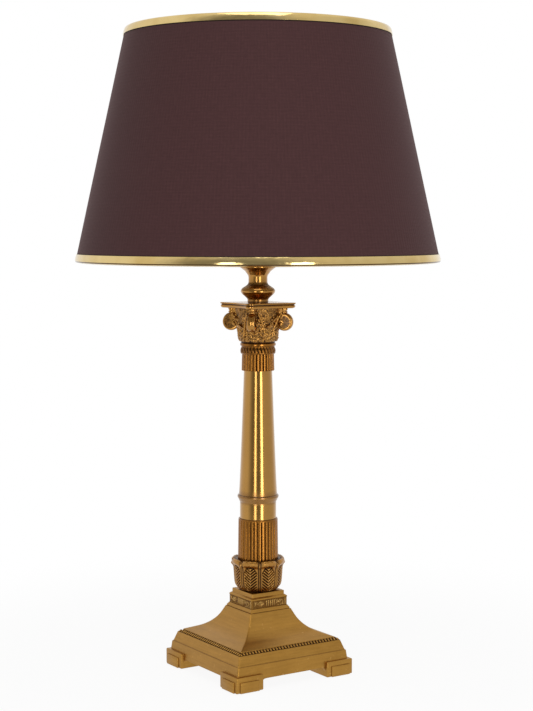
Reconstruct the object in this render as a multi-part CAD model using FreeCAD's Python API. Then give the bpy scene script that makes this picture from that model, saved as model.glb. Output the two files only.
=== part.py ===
import FreeCAD, Part
import math
import os

from FreeCAD import Vector

# Column table lamp: a square bracket-footed base, a column with a leaf cup, a reeded drum, a tapered
# shaft and a scrolled capital, a turned neck, a screw lampholder and a round tapered fabric shade.
# Millimetres. +Z is up, the origin is under the middle of the base, the base's sides lie along X and Y.

# ---- fits ----
SLIP = 0.3            # gap all round a piece that drops into or over another
RUN_CLEARANCE = 0.05  # radial gap of a piece that turns on another
REST_GAP = 0.3        # gap between faces of two pieces that turn against each other
GLUE_GAP = 0.15       # thickness of glue between the layers of the shade
WELD_GAP = 0.1        # an arm's end stands this far off the wire that it is welded to

# ---- base: feet and plinth ----
FELT_THICK = 1.0
FELT_SIDE = 22.0
FOOT_PROUD = 2.7      # how far a foot stands out past the plinth, without its raised panels
FOOT_SIDE = 30.0
FOOT_TOP_Z = 15.9
FOOT_PANEL_PROUD = 1.4
FOOT_PANEL_CORNER = 3.6   # bare corner strip between the two raised panels of a foot
FOOT_PANEL_INNER = 5.0    # bare strip at the panel's other end
FOOT_PANEL_DROP = 4.6     # from the foot's top down to the panel's top
PLINTH_LOWER_EDGE_Z = 10.5
BRACKET_RADIUS = 4.0      # curve where the plinth's lower edge runs down into a foot
LOWER_TIER_HALF = 64.0
LOWER_TIER_RAKE = 1.6
LOWER_TIER_TOP_Z = 23.9
UPPER_TIER_SETBACK = 1.0  # step from the lower tier's top edge in to the upper tier
UPPER_TIER_RAKE = 3.5
UPPER_TIER_TOP_Z = 34.2
TOOTH_COURSE_WIDTH = 3.6
TOOTH_COURSE_RISE = 1.8   # from the course's floor up to the foot of the sweep
SWEEP_LOW_SLOPE = 21.5    # degrees above level, at the sweep's foot
SWEEP_HIGH_SLOPE = 65.0   # degrees above level, at the sweep's head
SWEEP_RADIUS = 32.0
SWEEP_HEAD_HALF = 23.5
BASE_HEIGHT = 62.6
BASE_WALL = 4.0
BASE_ROOF = 5.0

# ---- pedestal block ----
PEDESTAL_HEIGHT = 17.9
PEDESTAL_FOOT_HALF = 22.6
PEDESTAL_FOOT_HEIGHT = 3.4
PEDESTAL_PANEL_HALF = 21.0
PEDESTAL_LIP_HALF = 18.5
PEDESTAL_LIP_HEIGHT = 4.0
PEDESTAL_STEP = 1.6       # height of the cove between panel and lip

# ---- leaf cup ----
CUP_HEIGHT = 32.0
CUP_FOOT_RADIUS = 16.8
CUP_BELLY_RADIUS = 23.2
CUP_BELLY_LEAN = 1.0      # the belly narrows by this at its foot and widens by it at its head
CUP_BELLY_RISE = 4.5      # from the cup's foot up to the belly
CUP_BELLY_CURVE = 9.0     # curve from the foot into the belly
CUP_RIM_RADIUS = 26.2
CUP_RIM_HEIGHT = 6.0      # the curled rim of the leaves
CUP_RIM_SPRING = 3.0      # height over which the leaves curl out to the rim
CUP_RIM_CURVE = 6.0       # curve from the belly into the rim
CUP_RIM_LIP = 2.2         # height of the rim's rounded upper edge
CUP_RIM_SLOPE = 2.6       # how far that edge runs in
CUP_RIM_ROUND = 2.0
CUP_LIP_ROUND = 1.2
CUP_LEAVES = 8
CUP_LEAF_TURN = 34.7      # degrees from +X to the first leaf
CUP_LEAF_GROOVE = 0.9     # radius of the groove between two leaves
CUP_TIP_DEPTH = 7.5       # how far the gap between two leaf tips runs down
CUP_TIP_ROUND = 0.9       # roundness of the tips: 1 has the gap close upright at its foot
CUP_RIM_WALL = 1.6        # ring that stays whole round the drum's socket
CUP_SOCKET_DEPTH = 7.0    # how deep the drum stands in the cup

# ---- reeded drum and band ----
DRUM_HEIGHT = 46.0
DRUM_FOOT_RADIUS = 19.9
DRUM_HEAD_RADIUS = 19.3
DRUM_REEDS = 32
DRUM_GROOVE = 0.85        # radius of the groove between two reeds
BAND_RADIUS = 17.8
BAND_HEIGHT = 23.5
RING_RADIUS = 20.2
RING_HEIGHT = 7.0

# ---- shaft ----
SHAFT_LENGTH = 127.0
SHAFT_FOOT_RADIUS = 18.8
SHAFT_HEAD_RADIUS = 13.9
SHAFT_WALL = 1.6
SPIGOT_HEIGHT = 6.0       # registers that hold the tube in line

# ---- reeded collar and bead ring ----
COLLAR_HEIGHT = 16.3
COLLAR_FOOT_RADIUS = 16.0
COLLAR_HEAD_RADIUS = 15.6
COLLAR_REEDS = 28
COLLAR_GROOVE = 0.7
COLLAR_SOCKET_DEPTH = 5.0
BEAD_RING_HEIGHT = 7.6
BEAD_RING_RADIUS = 17.3
BEAD_COUNT = 30
BEAD_GROOVE = 0.6
ASTRAGAL_HEIGHT = 4.2
ASTRAGAL_RADIUS = 17.4

# ---- capital ----
BELL_HEIGHT = 33.0
BELL_FOOT_RADIUS = 18.1
BELL_HEAD_RADIUS = 22.4
LEAF_COUNT = 8
LEAF_HEIGHT = 17.5
UPPER_LEAF_HEIGHT = 26.0   # the leaves that rise behind and between the lower ones
UPPER_LEAF_PROUD = 0.6
LEAF_WIDTH = 12.4
LEAF_PROUD = 1.1
LEAF_CURL = 3.0
VOLUTE_REACH = 26.0       # from the lamp's axis to a volute's middle, along the corner
VOLUTE_RISE = 19.3        # from the bell's foot up to a volute's middle
VOLUTE_RADIUS = 8.6
VOLUTE_WIDTH = 7.6
VOLUTE_BAND = 1.7
VOLUTE_WEB = 4.6
VOLUTE_SHRINK = 0.60      # each half turn's radius, as a share of the one before
VOLUTE_HALF_TURNS = 3
VOLUTE_EYE_RADIUS = 2.0
VOLUTE_EYE_PROUD = 0.5
CORNER_STUD_RADIUS = 3.1
ABACUS_THICK = 5.2
ABACUS_CORNER_REACH = 36.6
ABACUS_CORNER_WIDTH = 7.0
ABACUS_SIDE_SAG = 2.6
ABACUS_UNDERCUT = 1.8

# ---- turned neck ----
NECK_HEIGHT = 35.5
NECK_FOOT_RADIUS = 10.2
NECK_KNOP_RADIUS = 16.5
NECK_WAIST_RADIUS = 9.4
NECK_CUP_RADIUS = 17.4
NECK_RECESS = 1.5

# ---- tie rod ----
ROD_RADIUS = 5.0
ROD_BORE_RADIUS = 3.8
ROD_TAIL = 4.0            # rod below its nut
NUT_FLATS = 14.0
NUT_HEIGHT = 5.0
WASHER_RADIUS = 14.0
WASHER_THICK = 2.5

# ---- cord inlet ----
INLET_Z = 17.4
INLET_BORE_RADIUS = 3.6
INLET_BODY_RADIUS = 4.7
INLET_FLANGE_RADIUS = 5.9
INLET_FLANGE_THICK = 1.5
INLET_TAIL = 2.0          # bush inside the wall

# ---- lampholder ----
HOLDER_RADIUS = 19.8
HOLDER_WALL = 1.1
HOLDER_CAP_FOOT_RADIUS = 14.2
HOLDER_CAP_HEIGHT = 16.0
HOLDER_HUB_RADIUS = 8.2
HOLDER_HUB_HEIGHT = 6.0
HOLDER_SHELL_HEIGHT = 33.0
HOLDER_FLANGE_RADIUS = 25.0
HOLDER_FLANGE_THICK = 1.5
HOLDER_FLANGE_RISE = 5.0  # from the shell's foot up to its flange
INSERT_HEIGHT = 18.0
INSERT_RISE = 8.0         # from the cap's foot up to the insert
SCREW_SHELL_WALL = 0.5
SCREW_SHELL_HEIGHT = 20.0
SCREW_SHELL_SEAT = 2.0    # depth of the insert's round seat for the screw shell
CONTACT_WIDTH = 6.0
CONTACT_THICK = 0.6
CONTACT_RISE = 2.2
TERMINAL_OFFSET = 11.5
TERMINAL_RADIUS = 1.5
TERMINAL_HEAD_RADIUS = 2.7
TERMINAL_HEAD_HEIGHT = 1.8
TERMINAL_LENGTH = 8.0
CLAMP_RING_RADIUS = 26.5
CLAMP_RING_HEIGHT = 6.5
CLAMP_RING_FLANGE = 2.2
CLAMP_RING_COLLAR = 23.0
CLAMP_RING_GRIPS = 12
CLAMP_RING_GRIP_RADIUS = 1.6

# ---- bulb ----
BULB_RADIUS = 30.0
BULB_LENGTH = 105.0
BULB_CAP_RADIUS = 13.2
BULB_CAP_LENGTH = 22.0
BULB_CONTACT_RADIUS = 4.6
BULB_CONTACT_THICK = 1.2
BULB_INSULATOR_HEIGHT = 3.6
BULB_GLASS_WALL = 1.0

# ---- shade ----
SHADE_FOOT_RADIUS = 176.0
SHADE_HEAD_RADIUS = 127.0
SHADE_HEIGHT = 221.5
SHADE_DROP = 16.6         # from the carrier's eye down to the shade's lower edge
FABRIC_THICK = 0.6
LINER_THICK = 0.5
WIRE_RADIUS = 1.6
TRIM_THICK = 0.5
TRIM_FOOT_WIDTH = 8.2
TRIM_HEAD_WIDTH = 7.2
TRIM_RETURN = 4.0         # height of the trim's turned-in leg inside the shade
CARRIER_ARMS = 3
CARRIER_FIRST_ARM = 30.0  # degrees from +X
CARRIER_ARM_RADIUS = 1.75
CARRIER_ARM_LEVEL = 12.0  # level start of an arm, before it slopes down
CARRIER_ARM_DROP = 0.15   # an arm's top lies this far below the eye's upper face
CARRIER_EYE_RADIUS = 28.5
CARRIER_EYE_THICK = 2.0

# ---- widths and heights that follow ----
FOOT_HALF = LOWER_TIER_HALF + FOOT_PROUD
UPPER_TIER_HALF = LOWER_TIER_HALF - LOWER_TIER_RAKE - UPPER_TIER_SETBACK
PEDESTAL_Z = BASE_HEIGHT
CUP_Z = PEDESTAL_Z + PEDESTAL_HEIGHT
DRUM_Z = CUP_Z + CUP_HEIGHT - CUP_SOCKET_DEPTH
BAND_Z = DRUM_Z + DRUM_HEIGHT
SHAFT_Z = BAND_Z + BAND_HEIGHT
COLLAR_Z = SHAFT_Z + SHAFT_LENGTH - COLLAR_SOCKET_DEPTH
BEAD_RING_Z = COLLAR_Z + COLLAR_HEIGHT
ASTRAGAL_Z = BEAD_RING_Z + BEAD_RING_HEIGHT
BELL_Z = ASTRAGAL_Z + ASTRAGAL_HEIGHT
ABACUS_Z = BELL_Z + BELL_HEIGHT
NECK_Z = ABACUS_Z + ABACUS_THICK
HOLDER_Z = NECK_Z + NECK_HEIGHT - NECK_RECESS
HOLDER_SHELL_Z = HOLDER_Z + HOLDER_CAP_HEIGHT
FLANGE_TOP_Z = HOLDER_SHELL_Z + HOLDER_FLANGE_RISE + HOLDER_FLANGE_THICK
INSERT_Z = HOLDER_Z + INSERT_RISE
INSERT_TOP_Z = INSERT_Z + INSERT_HEIGHT
CARRIER_EYE_Z = FLANGE_TOP_Z + REST_GAP
SHADE_FOOT_Z = CARRIER_EYE_Z - SHADE_DROP
CLAMP_RING_Z = CARRIER_EYE_Z + CARRIER_EYE_THICK + REST_GAP
BULB_Z = INSERT_TOP_Z + CONTACT_RISE + REST_GAP
WASHER_Z = BASE_HEIGHT - BASE_ROOF - WASHER_THICK
NUT_Z = WASHER_Z - NUT_HEIGHT
ROD_Z = NUT_Z - ROD_TAIL
ROD_TOP_Z = HOLDER_Z + HOLDER_HUB_HEIGHT
ROD_HOLE_RADIUS = ROD_RADIUS + SLIP

UP = Vector(0, 0, 1)
ORIGIN = Vector(0, 0, 0)


# ---- shapes ----

def write(name, shape):
    shape.exportStep(os.path.join("parts", name + ".step"))


def rounded_outline(corners):
    """Closed outline in the XZ plane through corners (x, z) or (x, z, radius)."""
    count = len(corners)
    points = [Vector(c[0], 0, c[1]) for c in corners]
    entries = []
    exits = []
    middles = []
    for i, corner in enumerate(corners):
        point = points[i]
        radius = corner[2] if len(corner) > 2 else 0
        to_last = (points[i - 1] - point).normalize()
        to_next = (points[(i + 1) % count] - point).normalize()
        half_angle = to_last.getAngle(to_next) / 2
        if radius == 0 or math.pi / 2 - half_angle < 1e-4:
            entries.append(point)
            exits.append(point)
            middles.append(None)
            continue
        cut = radius / math.tan(half_angle)
        inward = (to_last + to_next).normalize()
        entries.append(point + to_last * cut)
        exits.append(point + to_next * cut)
        middles.append(point + inward * (radius / math.sin(half_angle) - radius))
    edges = []
    for i in range(count):
        if middles[i] is not None:
            edges.append(Part.Arc(entries[i], middles[i], exits[i]).toShape())
        start, end = exits[i], entries[(i + 1) % count]
        if start.distanceToPoint(end) > 1e-6:
            edges.append(Part.LineSegment(start, end).toShape())
    return Part.Wire(edges)


def turned(corners):
    """A solid of revolution about Z from an outline of (radius, z) corners."""
    return Part.Face(rounded_outline(corners)).revolve(ORIGIN, UP, 360)


def square_moulding(side):
    """A square block whose four sides share one profile of (half width, z) corners, mitred at the corners."""
    far_side = [(-corner[0],) + tuple(corner[1:]) for corner in reversed(side)]
    face = Part.Face(rounded_outline(list(side) + far_side))
    reach = 2 * max(corner[0] for corner in side)
    slab = face.extrude(Vector(0, 2 * reach, 0))
    slab.translate(Vector(0, -reach, 0))
    crossing = slab.copy()
    crossing.rotate(ORIGIN, UP, 90)
    return slab.common(crossing)


def around(shape, count, first=0.0):
    """Copies of a shape, evenly spaced about the Z axis."""
    copies = []
    for i in range(count):
        copy = shape.copy()
        copy.rotate(ORIGIN, UP, first + i * 360.0 / count)
        copies.append(copy)
    return copies


def rod(radius, start, end):
    """A round bar from one point to another."""
    return Part.makeCylinder(radius, (end - start).Length, start, end - start)


def tube_hole(radius, low, high):
    """A cutter for a hole up the lamp's axis, a little longer than what it cuts."""
    over = 1.0
    return Part.makeCylinder(radius, high - low + 2 * over, Vector(0, 0, low - over))


def reeded(solid, count, groove, foot_radius, head_radius, low, high):
    """Cuts the grooves between reeds into a round solid, along its slope."""
    over = 0.1 * (high - low)
    slope = (head_radius - foot_radius) / (high - low)
    start = Vector(foot_radius - slope * over, 0, low - over)
    end = Vector(head_radius + slope * over, 0, high + over)
    return solid.cut(Part.makeCompound(around(rod(groove, start, end), count, 180.0 / count)))


def one_solid(shape):
    """The single solid of a boolean's result."""
    return shape.removeSplitter().Solids[0]


# ---- base ----

def sweep_knee(inset):
    """Where the low and high slopes of the base's sweep would meet, moved square to both by an inset."""
    low = math.radians(SWEEP_LOW_SLOPE)
    high = math.radians(SWEEP_HIGH_SLOPE)
    foot = sweep_foot()
    foot = (foot[0] - inset * math.sin(low), foot[1] - inset * math.cos(low))
    head = (SWEEP_HEAD_HALF - inset * math.sin(high), BASE_HEIGHT - inset * math.cos(high))
    run = (head[1] - foot[1] - (foot[0] - head[0]) * math.tan(low)) / (math.tan(high) - math.tan(low))
    return (head[0] + run, head[1] - run * math.tan(high))


def sweep_foot():
    half = UPPER_TIER_HALF - UPPER_TIER_RAKE - TOOTH_COURSE_WIDTH
    return (half, UPPER_TIER_TOP_Z + TOOTH_COURSE_RISE)


def base_outside():
    edge = 0.6
    foot = sweep_foot()
    knee = sweep_knee(0)
    return square_moulding([
        (LOWER_TIER_HALF, PLINTH_LOWER_EDGE_Z),
        (LOWER_TIER_HALF - LOWER_TIER_RAKE, LOWER_TIER_TOP_Z, edge),
        (UPPER_TIER_HALF, LOWER_TIER_TOP_Z + edge),
        (UPPER_TIER_HALF - UPPER_TIER_RAKE, UPPER_TIER_TOP_Z, edge),
        (foot[0], UPPER_TIER_TOP_Z),
        foot,
        (knee[0], knee[1], SWEEP_RADIUS),
        (SWEEP_HEAD_HALF, BASE_HEIGHT),
    ])


def base_hollow():
    """The open inside of the casting: its outside moved in by the wall, under the roof."""
    knee = sweep_knee(BASE_WALL)
    roof_z = BASE_HEIGHT - BASE_ROOF
    high = math.radians(SWEEP_HIGH_SLOPE)
    roof_half = knee[0] - (roof_z - knee[1]) / math.tan(high)
    tier_half = UPPER_TIER_HALF - UPPER_TIER_RAKE - BASE_WALL
    low = math.radians(SWEEP_LOW_SLOPE)
    shoulder_z = knee[1] - (tier_half - knee[0]) * math.tan(low)
    return square_moulding([
        (LOWER_TIER_HALF - LOWER_TIER_RAKE - BASE_WALL, FELT_THICK - BASE_WALL),
        (LOWER_TIER_HALF - LOWER_TIER_RAKE - BASE_WALL, LOWER_TIER_TOP_Z),
        (tier_half, shoulder_z),
        (knee[0], knee[1], SWEEP_RADIUS),
        (roof_half, roof_z),
    ])


def foot():
    """The foot at the +X +Y corner: a block with a raised panel on each outer face."""
    inner = FOOT_HALF - FOOT_SIDE
    height = FOOT_TOP_Z - FELT_THICK
    block = Part.makeBox(FOOT_SIDE, FOOT_SIDE, height, Vector(inner, inner, FELT_THICK))
    panel = Part.makeBox(
        FOOT_PANEL_PROUD,
        FOOT_SIDE - FOOT_PANEL_CORNER - FOOT_PANEL_INNER,
        height - FOOT_PANEL_DROP,
        Vector(FOOT_HALF, inner + FOOT_PANEL_INNER, FELT_THICK),
    )
    other_panel = panel.mirror(ORIGIN, Vector(1, -1, 0))
    return block.fuse([panel, other_panel])


def bracket():
    """The curved web beside a foot, under the plinth's edge, on the side that faces +X."""
    inner = FOOT_HALF - FOOT_SIDE
    corner = Vector(0, inner, PLINTH_LOWER_EDGE_Z)
    run = BRACKET_RADIUS
    middle = run * (1 - math.sqrt(0.5))
    edges = [
        Part.LineSegment(corner + Vector(0, -run, 0), corner).toShape(),
        Part.LineSegment(corner, corner + Vector(0, 0, -run)).toShape(),
        Part.Arc(
            corner + Vector(0, 0, -run),
            corner + Vector(0, -middle, -middle),
            corner + Vector(0, -run, 0),
        ).toShape(),
    ]
    thick = BASE_WALL
    web = Part.Face(Part.Wire(edges)).extrude(Vector(thick, 0, 0))
    web.translate(Vector(LOWER_TIER_HALF - thick, 0, 0))
    return web


def base_casting():
    feet = around(foot(), 4)
    webs = around(bracket(), 4) + around(bracket().mirror(ORIGIN, Vector(0, 1, 0)), 4)
    body = base_outside().cut(base_hollow())
    body = body.fuse(feet + webs)
    body = body.cut(tube_hole(ROD_HOLE_RADIUS, NUT_Z, BASE_HEIGHT))
    inlet = rod(INLET_BODY_RADIUS + SLIP, Vector(0, UPPER_TIER_HALF / 2, INLET_Z), Vector(0, FOOT_HALF, INLET_Z))
    return one_solid(body.cut(inlet))


def felt_pads():
    middle = FOOT_HALF - FOOT_SIDE / 2
    corner = Vector(middle - FELT_SIDE / 2, middle - FELT_SIDE / 2, 0)
    return Part.makeCompound(around(Part.makeBox(FELT_SIDE, FELT_SIDE, FELT_THICK, corner), 4))


def plinth_face_y():
    """How far the plinth's rear face stands out at the height of the cord inlet's lower edge."""
    share = (INLET_Z - INLET_FLANGE_RADIUS - PLINTH_LOWER_EDGE_Z) / (LOWER_TIER_TOP_Z - PLINTH_LOWER_EDGE_Z)
    return LOWER_TIER_HALF - LOWER_TIER_RAKE * share


def cord_bush():
    """A flanged bush that lines the cord's hole in the rear of the plinth."""
    face_y = plinth_face_y()
    inner_y = LOWER_TIER_HALF - LOWER_TIER_RAKE - BASE_WALL - INLET_TAIL
    outer_y = face_y + INLET_FLANGE_THICK
    bush = rod(INLET_BODY_RADIUS, Vector(0, inner_y, INLET_Z), Vector(0, outer_y, INLET_Z))
    flange = rod(INLET_FLANGE_RADIUS, Vector(0, face_y, INLET_Z), Vector(0, outer_y, INLET_Z))
    bore = rod(INLET_BORE_RADIUS, Vector(0, inner_y - 1, INLET_Z), Vector(0, outer_y + 1, INLET_Z))
    return one_solid(bush.fuse(flange).cut(bore))


# ---- column ----

def pedestal_block():
    top = PEDESTAL_Z + PEDESTAL_HEIGHT
    lip_z = top - PEDESTAL_LIP_HEIGHT
    panel_z = PEDESTAL_Z + PEDESTAL_FOOT_HEIGHT
    block = square_moulding([
        (PEDESTAL_FOOT_HALF, PEDESTAL_Z),
        (PEDESTAL_FOOT_HALF, panel_z, 0.4),
        (PEDESTAL_PANEL_HALF, panel_z + 0.8),
        (PEDESTAL_PANEL_HALF, lip_z - PEDESTAL_STEP, 0.4),
        (PEDESTAL_LIP_HALF - 0.6, lip_z),
        (PEDESTAL_LIP_HALF, lip_z),
        (PEDESTAL_LIP_HALF, top, 0.3),
    ])
    return one_solid(block.cut(tube_hole(ROD_HOLE_RADIUS, PEDESTAL_Z, top)))


def cup_tip_gap():
    """The cutter between two leaf tips, on the +X side: a spandrel between two round tips."""
    over = 0.4
    top = CUP_Z + CUP_HEIGHT + over
    half_pitch = CUP_RIM_RADIUS * math.sin(math.pi / CUP_LEAVES)
    left = Vector(0, -half_pitch, top)
    right = Vector(0, half_pitch, top)
    bottom = Vector(0, 0, CUP_Z + CUP_HEIGHT - CUP_TIP_DEPTH)
    chord = bottom - left
    lean = math.atan2(chord.y, -chord.z)
    sag = chord.Length / 2 * math.tan(CUP_TIP_ROUND * lean / 2)
    bulge = Vector(0, -chord.z, chord.y).normalize() * sag
    left_middle = (left + bottom) * 0.5 + bulge
    right_middle = Vector(0, -left_middle.y, left_middle.z)
    edges = [
        Part.Arc(left, left_middle, bottom).toShape(),
        Part.Arc(bottom, right_middle, right).toShape(),
        Part.LineSegment(right, left).toShape(),
    ]
    inner = DRUM_FOOT_RADIUS + SLIP + CUP_RIM_WALL
    cutter = Part.Face(Part.Wire(edges)).extrude(Vector(2 * CUP_RIM_RADIUS, 0, 0))
    cutter.translate(Vector(inner, 0, 0))
    return cutter


def leaf_cup():
    top = CUP_Z + CUP_HEIGHT
    socket = DRUM_FOOT_RADIUS + SLIP
    cup = turned([
        (ROD_HOLE_RADIUS, CUP_Z),
        (CUP_FOOT_RADIUS, CUP_Z),
        (CUP_BELLY_RADIUS - CUP_BELLY_LEAN, CUP_Z + CUP_BELLY_RISE, CUP_BELLY_CURVE),
        (CUP_BELLY_RADIUS + CUP_BELLY_LEAN, top - CUP_RIM_HEIGHT - CUP_RIM_SPRING, CUP_RIM_CURVE),
        (CUP_RIM_RADIUS, top - CUP_RIM_HEIGHT, CUP_RIM_ROUND),
        (CUP_RIM_RADIUS, top - CUP_RIM_LIP, CUP_LIP_ROUND),
        (CUP_RIM_RADIUS - CUP_RIM_SLOPE, top, CUP_LIP_ROUND),
        (socket, top - CUP_LIP_ROUND),
        (socket, DRUM_Z),
        (ROD_HOLE_RADIUS, DRUM_Z),
    ])
    half_step = 180.0 / CUP_LEAVES
    gap_turn = CUP_LEAF_TURN + half_step
    cup = cup.cut(Part.makeCompound(around(cup_tip_gap(), CUP_LEAVES, gap_turn)))
    foot_point = Vector(CUP_BELLY_RADIUS - 1.6 * CUP_BELLY_LEAN, 0, CUP_Z - CUP_BELLY_RISE / 2)
    head_point = Vector(CUP_BELLY_RADIUS + 1.3 * CUP_BELLY_LEAN, 0, top - CUP_TIP_DEPTH + CUP_LEAF_GROOVE / 2)
    groove = rod(CUP_LEAF_GROOVE, foot_point, head_point)
    return one_solid(cup.cut(Part.makeCompound(around(groove, CUP_LEAVES, gap_turn))))


def fluted_drum():
    top = DRUM_Z + DRUM_HEIGHT
    drum = turned([
        (ROD_HOLE_RADIUS, DRUM_Z),
        (DRUM_FOOT_RADIUS, DRUM_Z),
        (DRUM_HEAD_RADIUS, top, 0.8),
        (ROD_HOLE_RADIUS, top),
    ])
    return one_solid(reeded(drum, DRUM_REEDS, DRUM_GROOVE, DRUM_FOOT_RADIUS, DRUM_HEAD_RADIUS, DRUM_Z, top))


def shaft_bore_radius(z):
    """The inside of the tapered shaft tube at a height."""
    share = (z - SHAFT_Z) / SHAFT_LENGTH
    return SHAFT_FOOT_RADIUS + (SHAFT_HEAD_RADIUS - SHAFT_FOOT_RADIUS) * share - SHAFT_WALL


def shaft_band():
    """The plain band over the drum, with the flared ring and the register that the shaft stands on."""
    ring_z = SHAFT_Z - RING_HEIGHT
    spigot = shaft_bore_radius(SHAFT_Z + SPIGOT_HEIGHT) - SLIP
    return turned([
        (ROD_HOLE_RADIUS, BAND_Z),
        (BAND_RADIUS, BAND_Z),
        (BAND_RADIUS, ring_z, 2.0),
        (RING_RADIUS, SHAFT_Z - 3.2, 2.0),
        (RING_RADIUS, SHAFT_Z - 0.4, 0.6),
        (RING_RADIUS - 0.8, SHAFT_Z, 0.3),
        (spigot, SHAFT_Z),
        (spigot, SHAFT_Z + SPIGOT_HEIGHT, 0.8),
        (ROD_HOLE_RADIUS, SHAFT_Z + SPIGOT_HEIGHT),
    ])


def column_shaft():
    top = SHAFT_Z + SHAFT_LENGTH
    return turned([
        (SHAFT_FOOT_RADIUS, SHAFT_Z),
        (SHAFT_HEAD_RADIUS, top),
        (SHAFT_HEAD_RADIUS - SHAFT_WALL, top),
        (SHAFT_FOOT_RADIUS - SHAFT_WALL, SHAFT_Z),
    ])


def shaft_radius(z):
    return shaft_bore_radius(z) + SHAFT_WALL


def fluted_collar():
    """The reeded collar, whose socket drops over the shaft's head."""
    top = COLLAR_Z + COLLAR_HEIGHT
    socket_top = COLLAR_Z + COLLAR_SOCKET_DEPTH
    socket = shaft_radius(COLLAR_Z) + SLIP
    register = shaft_bore_radius(socket_top) - SLIP
    collar = turned([
        (socket, COLLAR_Z),
        (COLLAR_FOOT_RADIUS, COLLAR_Z, 0.4),
        (COLLAR_HEAD_RADIUS, top),
        (ROD_HOLE_RADIUS, top),
        (ROD_HOLE_RADIUS, socket_top - SPIGOT_HEIGHT),
        (register, socket_top - SPIGOT_HEIGHT, 0.8),
        (register, socket_top),
        (socket, socket_top),
    ])
    return one_solid(
        reeded(collar, COLLAR_REEDS, COLLAR_GROOVE, COLLAR_FOOT_RADIUS, COLLAR_HEAD_RADIUS, COLLAR_Z, top)
    )


def bead_ring():
    """The ring of slanting beads under the capital."""
    top = BEAD_RING_Z + BEAD_RING_HEIGHT
    ring = turned([
        (ROD_HOLE_RADIUS, BEAD_RING_Z),
        (COLLAR_HEAD_RADIUS + 0.8, BEAD_RING_Z),
        (BEAD_RING_RADIUS, BEAD_RING_Z + 1.2, 1.0),
        (BEAD_RING_RADIUS, top - 1.6, 1.6),
        (BEAD_RING_RADIUS - 1.0, top),
        (ROD_HOLE_RADIUS, top),
    ])
    slant = Vector(0, 1.2, 0)
    start = Vector(BEAD_RING_RADIUS + 0.1, 0, BEAD_RING_Z + 1.4) - slant
    end = Vector(BEAD_RING_RADIUS + 0.1, 0, top + 1.0) + slant
    return one_solid(ring.cut(Part.makeCompound(around(rod(BEAD_GROOVE, start, end), BEAD_COUNT))))


def astragal():
    """The smooth round moulding between the bead ring and the capital."""
    top = ASTRAGAL_Z + ASTRAGAL_HEIGHT
    neck = BEAD_RING_RADIUS - 1.0
    return turned([
        (ROD_HOLE_RADIUS, ASTRAGAL_Z),
        (neck, ASTRAGAL_Z),
        (ASTRAGAL_RADIUS, ASTRAGAL_Z + 0.3, 0.8),
        (ASTRAGAL_RADIUS, top - 1.3, 1.4),
        (neck, top - 0.9),
        (neck, top),
        (ROD_HOLE_RADIUS, top),
    ])


# ---- capital ----

def spiral_edges(radius, inward):
    """Half turns of a scroll in the XZ plane about the origin, from its top round the outer side.

    Each half turn is VOLUTE_SHRINK of the last; inward moves the line towards the scroll's inside."""
    edges = []
    ends = []
    level = radius
    side = 1
    for _ in range(VOLUTE_HALF_TURNS):
        centre_z = level - side * radius
        run = radius - inward
        start = Vector(0, 0, centre_z + side * run)
        middle = Vector(side * run, 0, centre_z)
        end = Vector(0, 0, centre_z - side * run)
        edges.append(Part.Arc(start, middle, end).toShape())
        ends.append((start, end))
        level = centre_z - side * radius
        radius *= VOLUTE_SHRINK
        side = -side
    return edges, ends


def volute():
    """One corner scroll: a coiled band on a thinner web, with a round eye, standing in the XZ plane."""
    outer, outer_ends = spiral_edges(VOLUTE_RADIUS, 0)
    inner, inner_ends = spiral_edges(VOLUTE_RADIUS, VOLUTE_BAND)
    stem = VOLUTE_REACH - BELL_FOOT_RADIUS
    stem_top = Vector(-stem, 0, VOLUTE_RADIUS)
    stem_low = Vector(-stem, 0, VOLUTE_RADIUS - VOLUTE_BAND)
    edges = [Part.LineSegment(stem_top, outer_ends[0][0]).toShape()]
    edges += outer
    edges.append(Part.LineSegment(outer_ends[-1][1], inner_ends[-1][1]).toShape())
    edges += list(reversed(inner))
    edges.append(Part.LineSegment(inner_ends[0][0], stem_low).toShape())
    edges.append(Part.LineSegment(stem_low, stem_top).toShape())
    band = Part.Face(Part.Wire(Part.__sortEdges__(edges))).extrude(Vector(0, VOLUTE_WIDTH, 0))
    band.translate(Vector(0, -VOLUTE_WIDTH / 2, 0))
    web_radius = VOLUTE_RADIUS - VOLUTE_BAND / 2
    web = rod(web_radius, Vector(0, -VOLUTE_WEB / 2, 0), Vector(0, VOLUTE_WEB / 2, 0))
    eye_half = VOLUTE_WIDTH / 2 + VOLUTE_EYE_PROUD
    eye_z = (outer_ends[-1][0].z + outer_ends[-1][1].z) / 2
    eye = rod(VOLUTE_EYE_RADIUS, Vector(0, -eye_half, eye_z), Vector(0, eye_half, eye_z))
    shape = web.fuse([band, eye])
    shape.translate(Vector(VOLUTE_REACH, 0, BELL_Z + VOLUTE_RISE))
    return shape


def corner_stud():
    """The stud between a volute and the abacus."""
    low = BELL_Z + VOLUTE_RISE + VOLUTE_RADIUS - VOLUTE_BAND / 2
    return rod(CORNER_STUD_RADIUS, Vector(VOLUTE_REACH, 0, low), Vector(VOLUTE_REACH, 0, ABACUS_Z))


def corner_web():
    """The metal between the bell and a volute's stem, from the volute's middle up to the abacus."""
    inner = BELL_FOOT_RADIUS
    low = BELL_Z + VOLUTE_RISE
    return Part.makeBox(VOLUTE_REACH - inner, VOLUTE_WEB, ABACUS_Z - low, Vector(inner, -VOLUTE_WEB / 2, low))


def bell_radius(share):
    """The bell's radius at a share of its height: nearly straight low down, flaring above."""
    return BELL_FOOT_RADIUS + (BELL_HEAD_RADIUS - BELL_FOOT_RADIUS) * share ** 1.4


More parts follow.
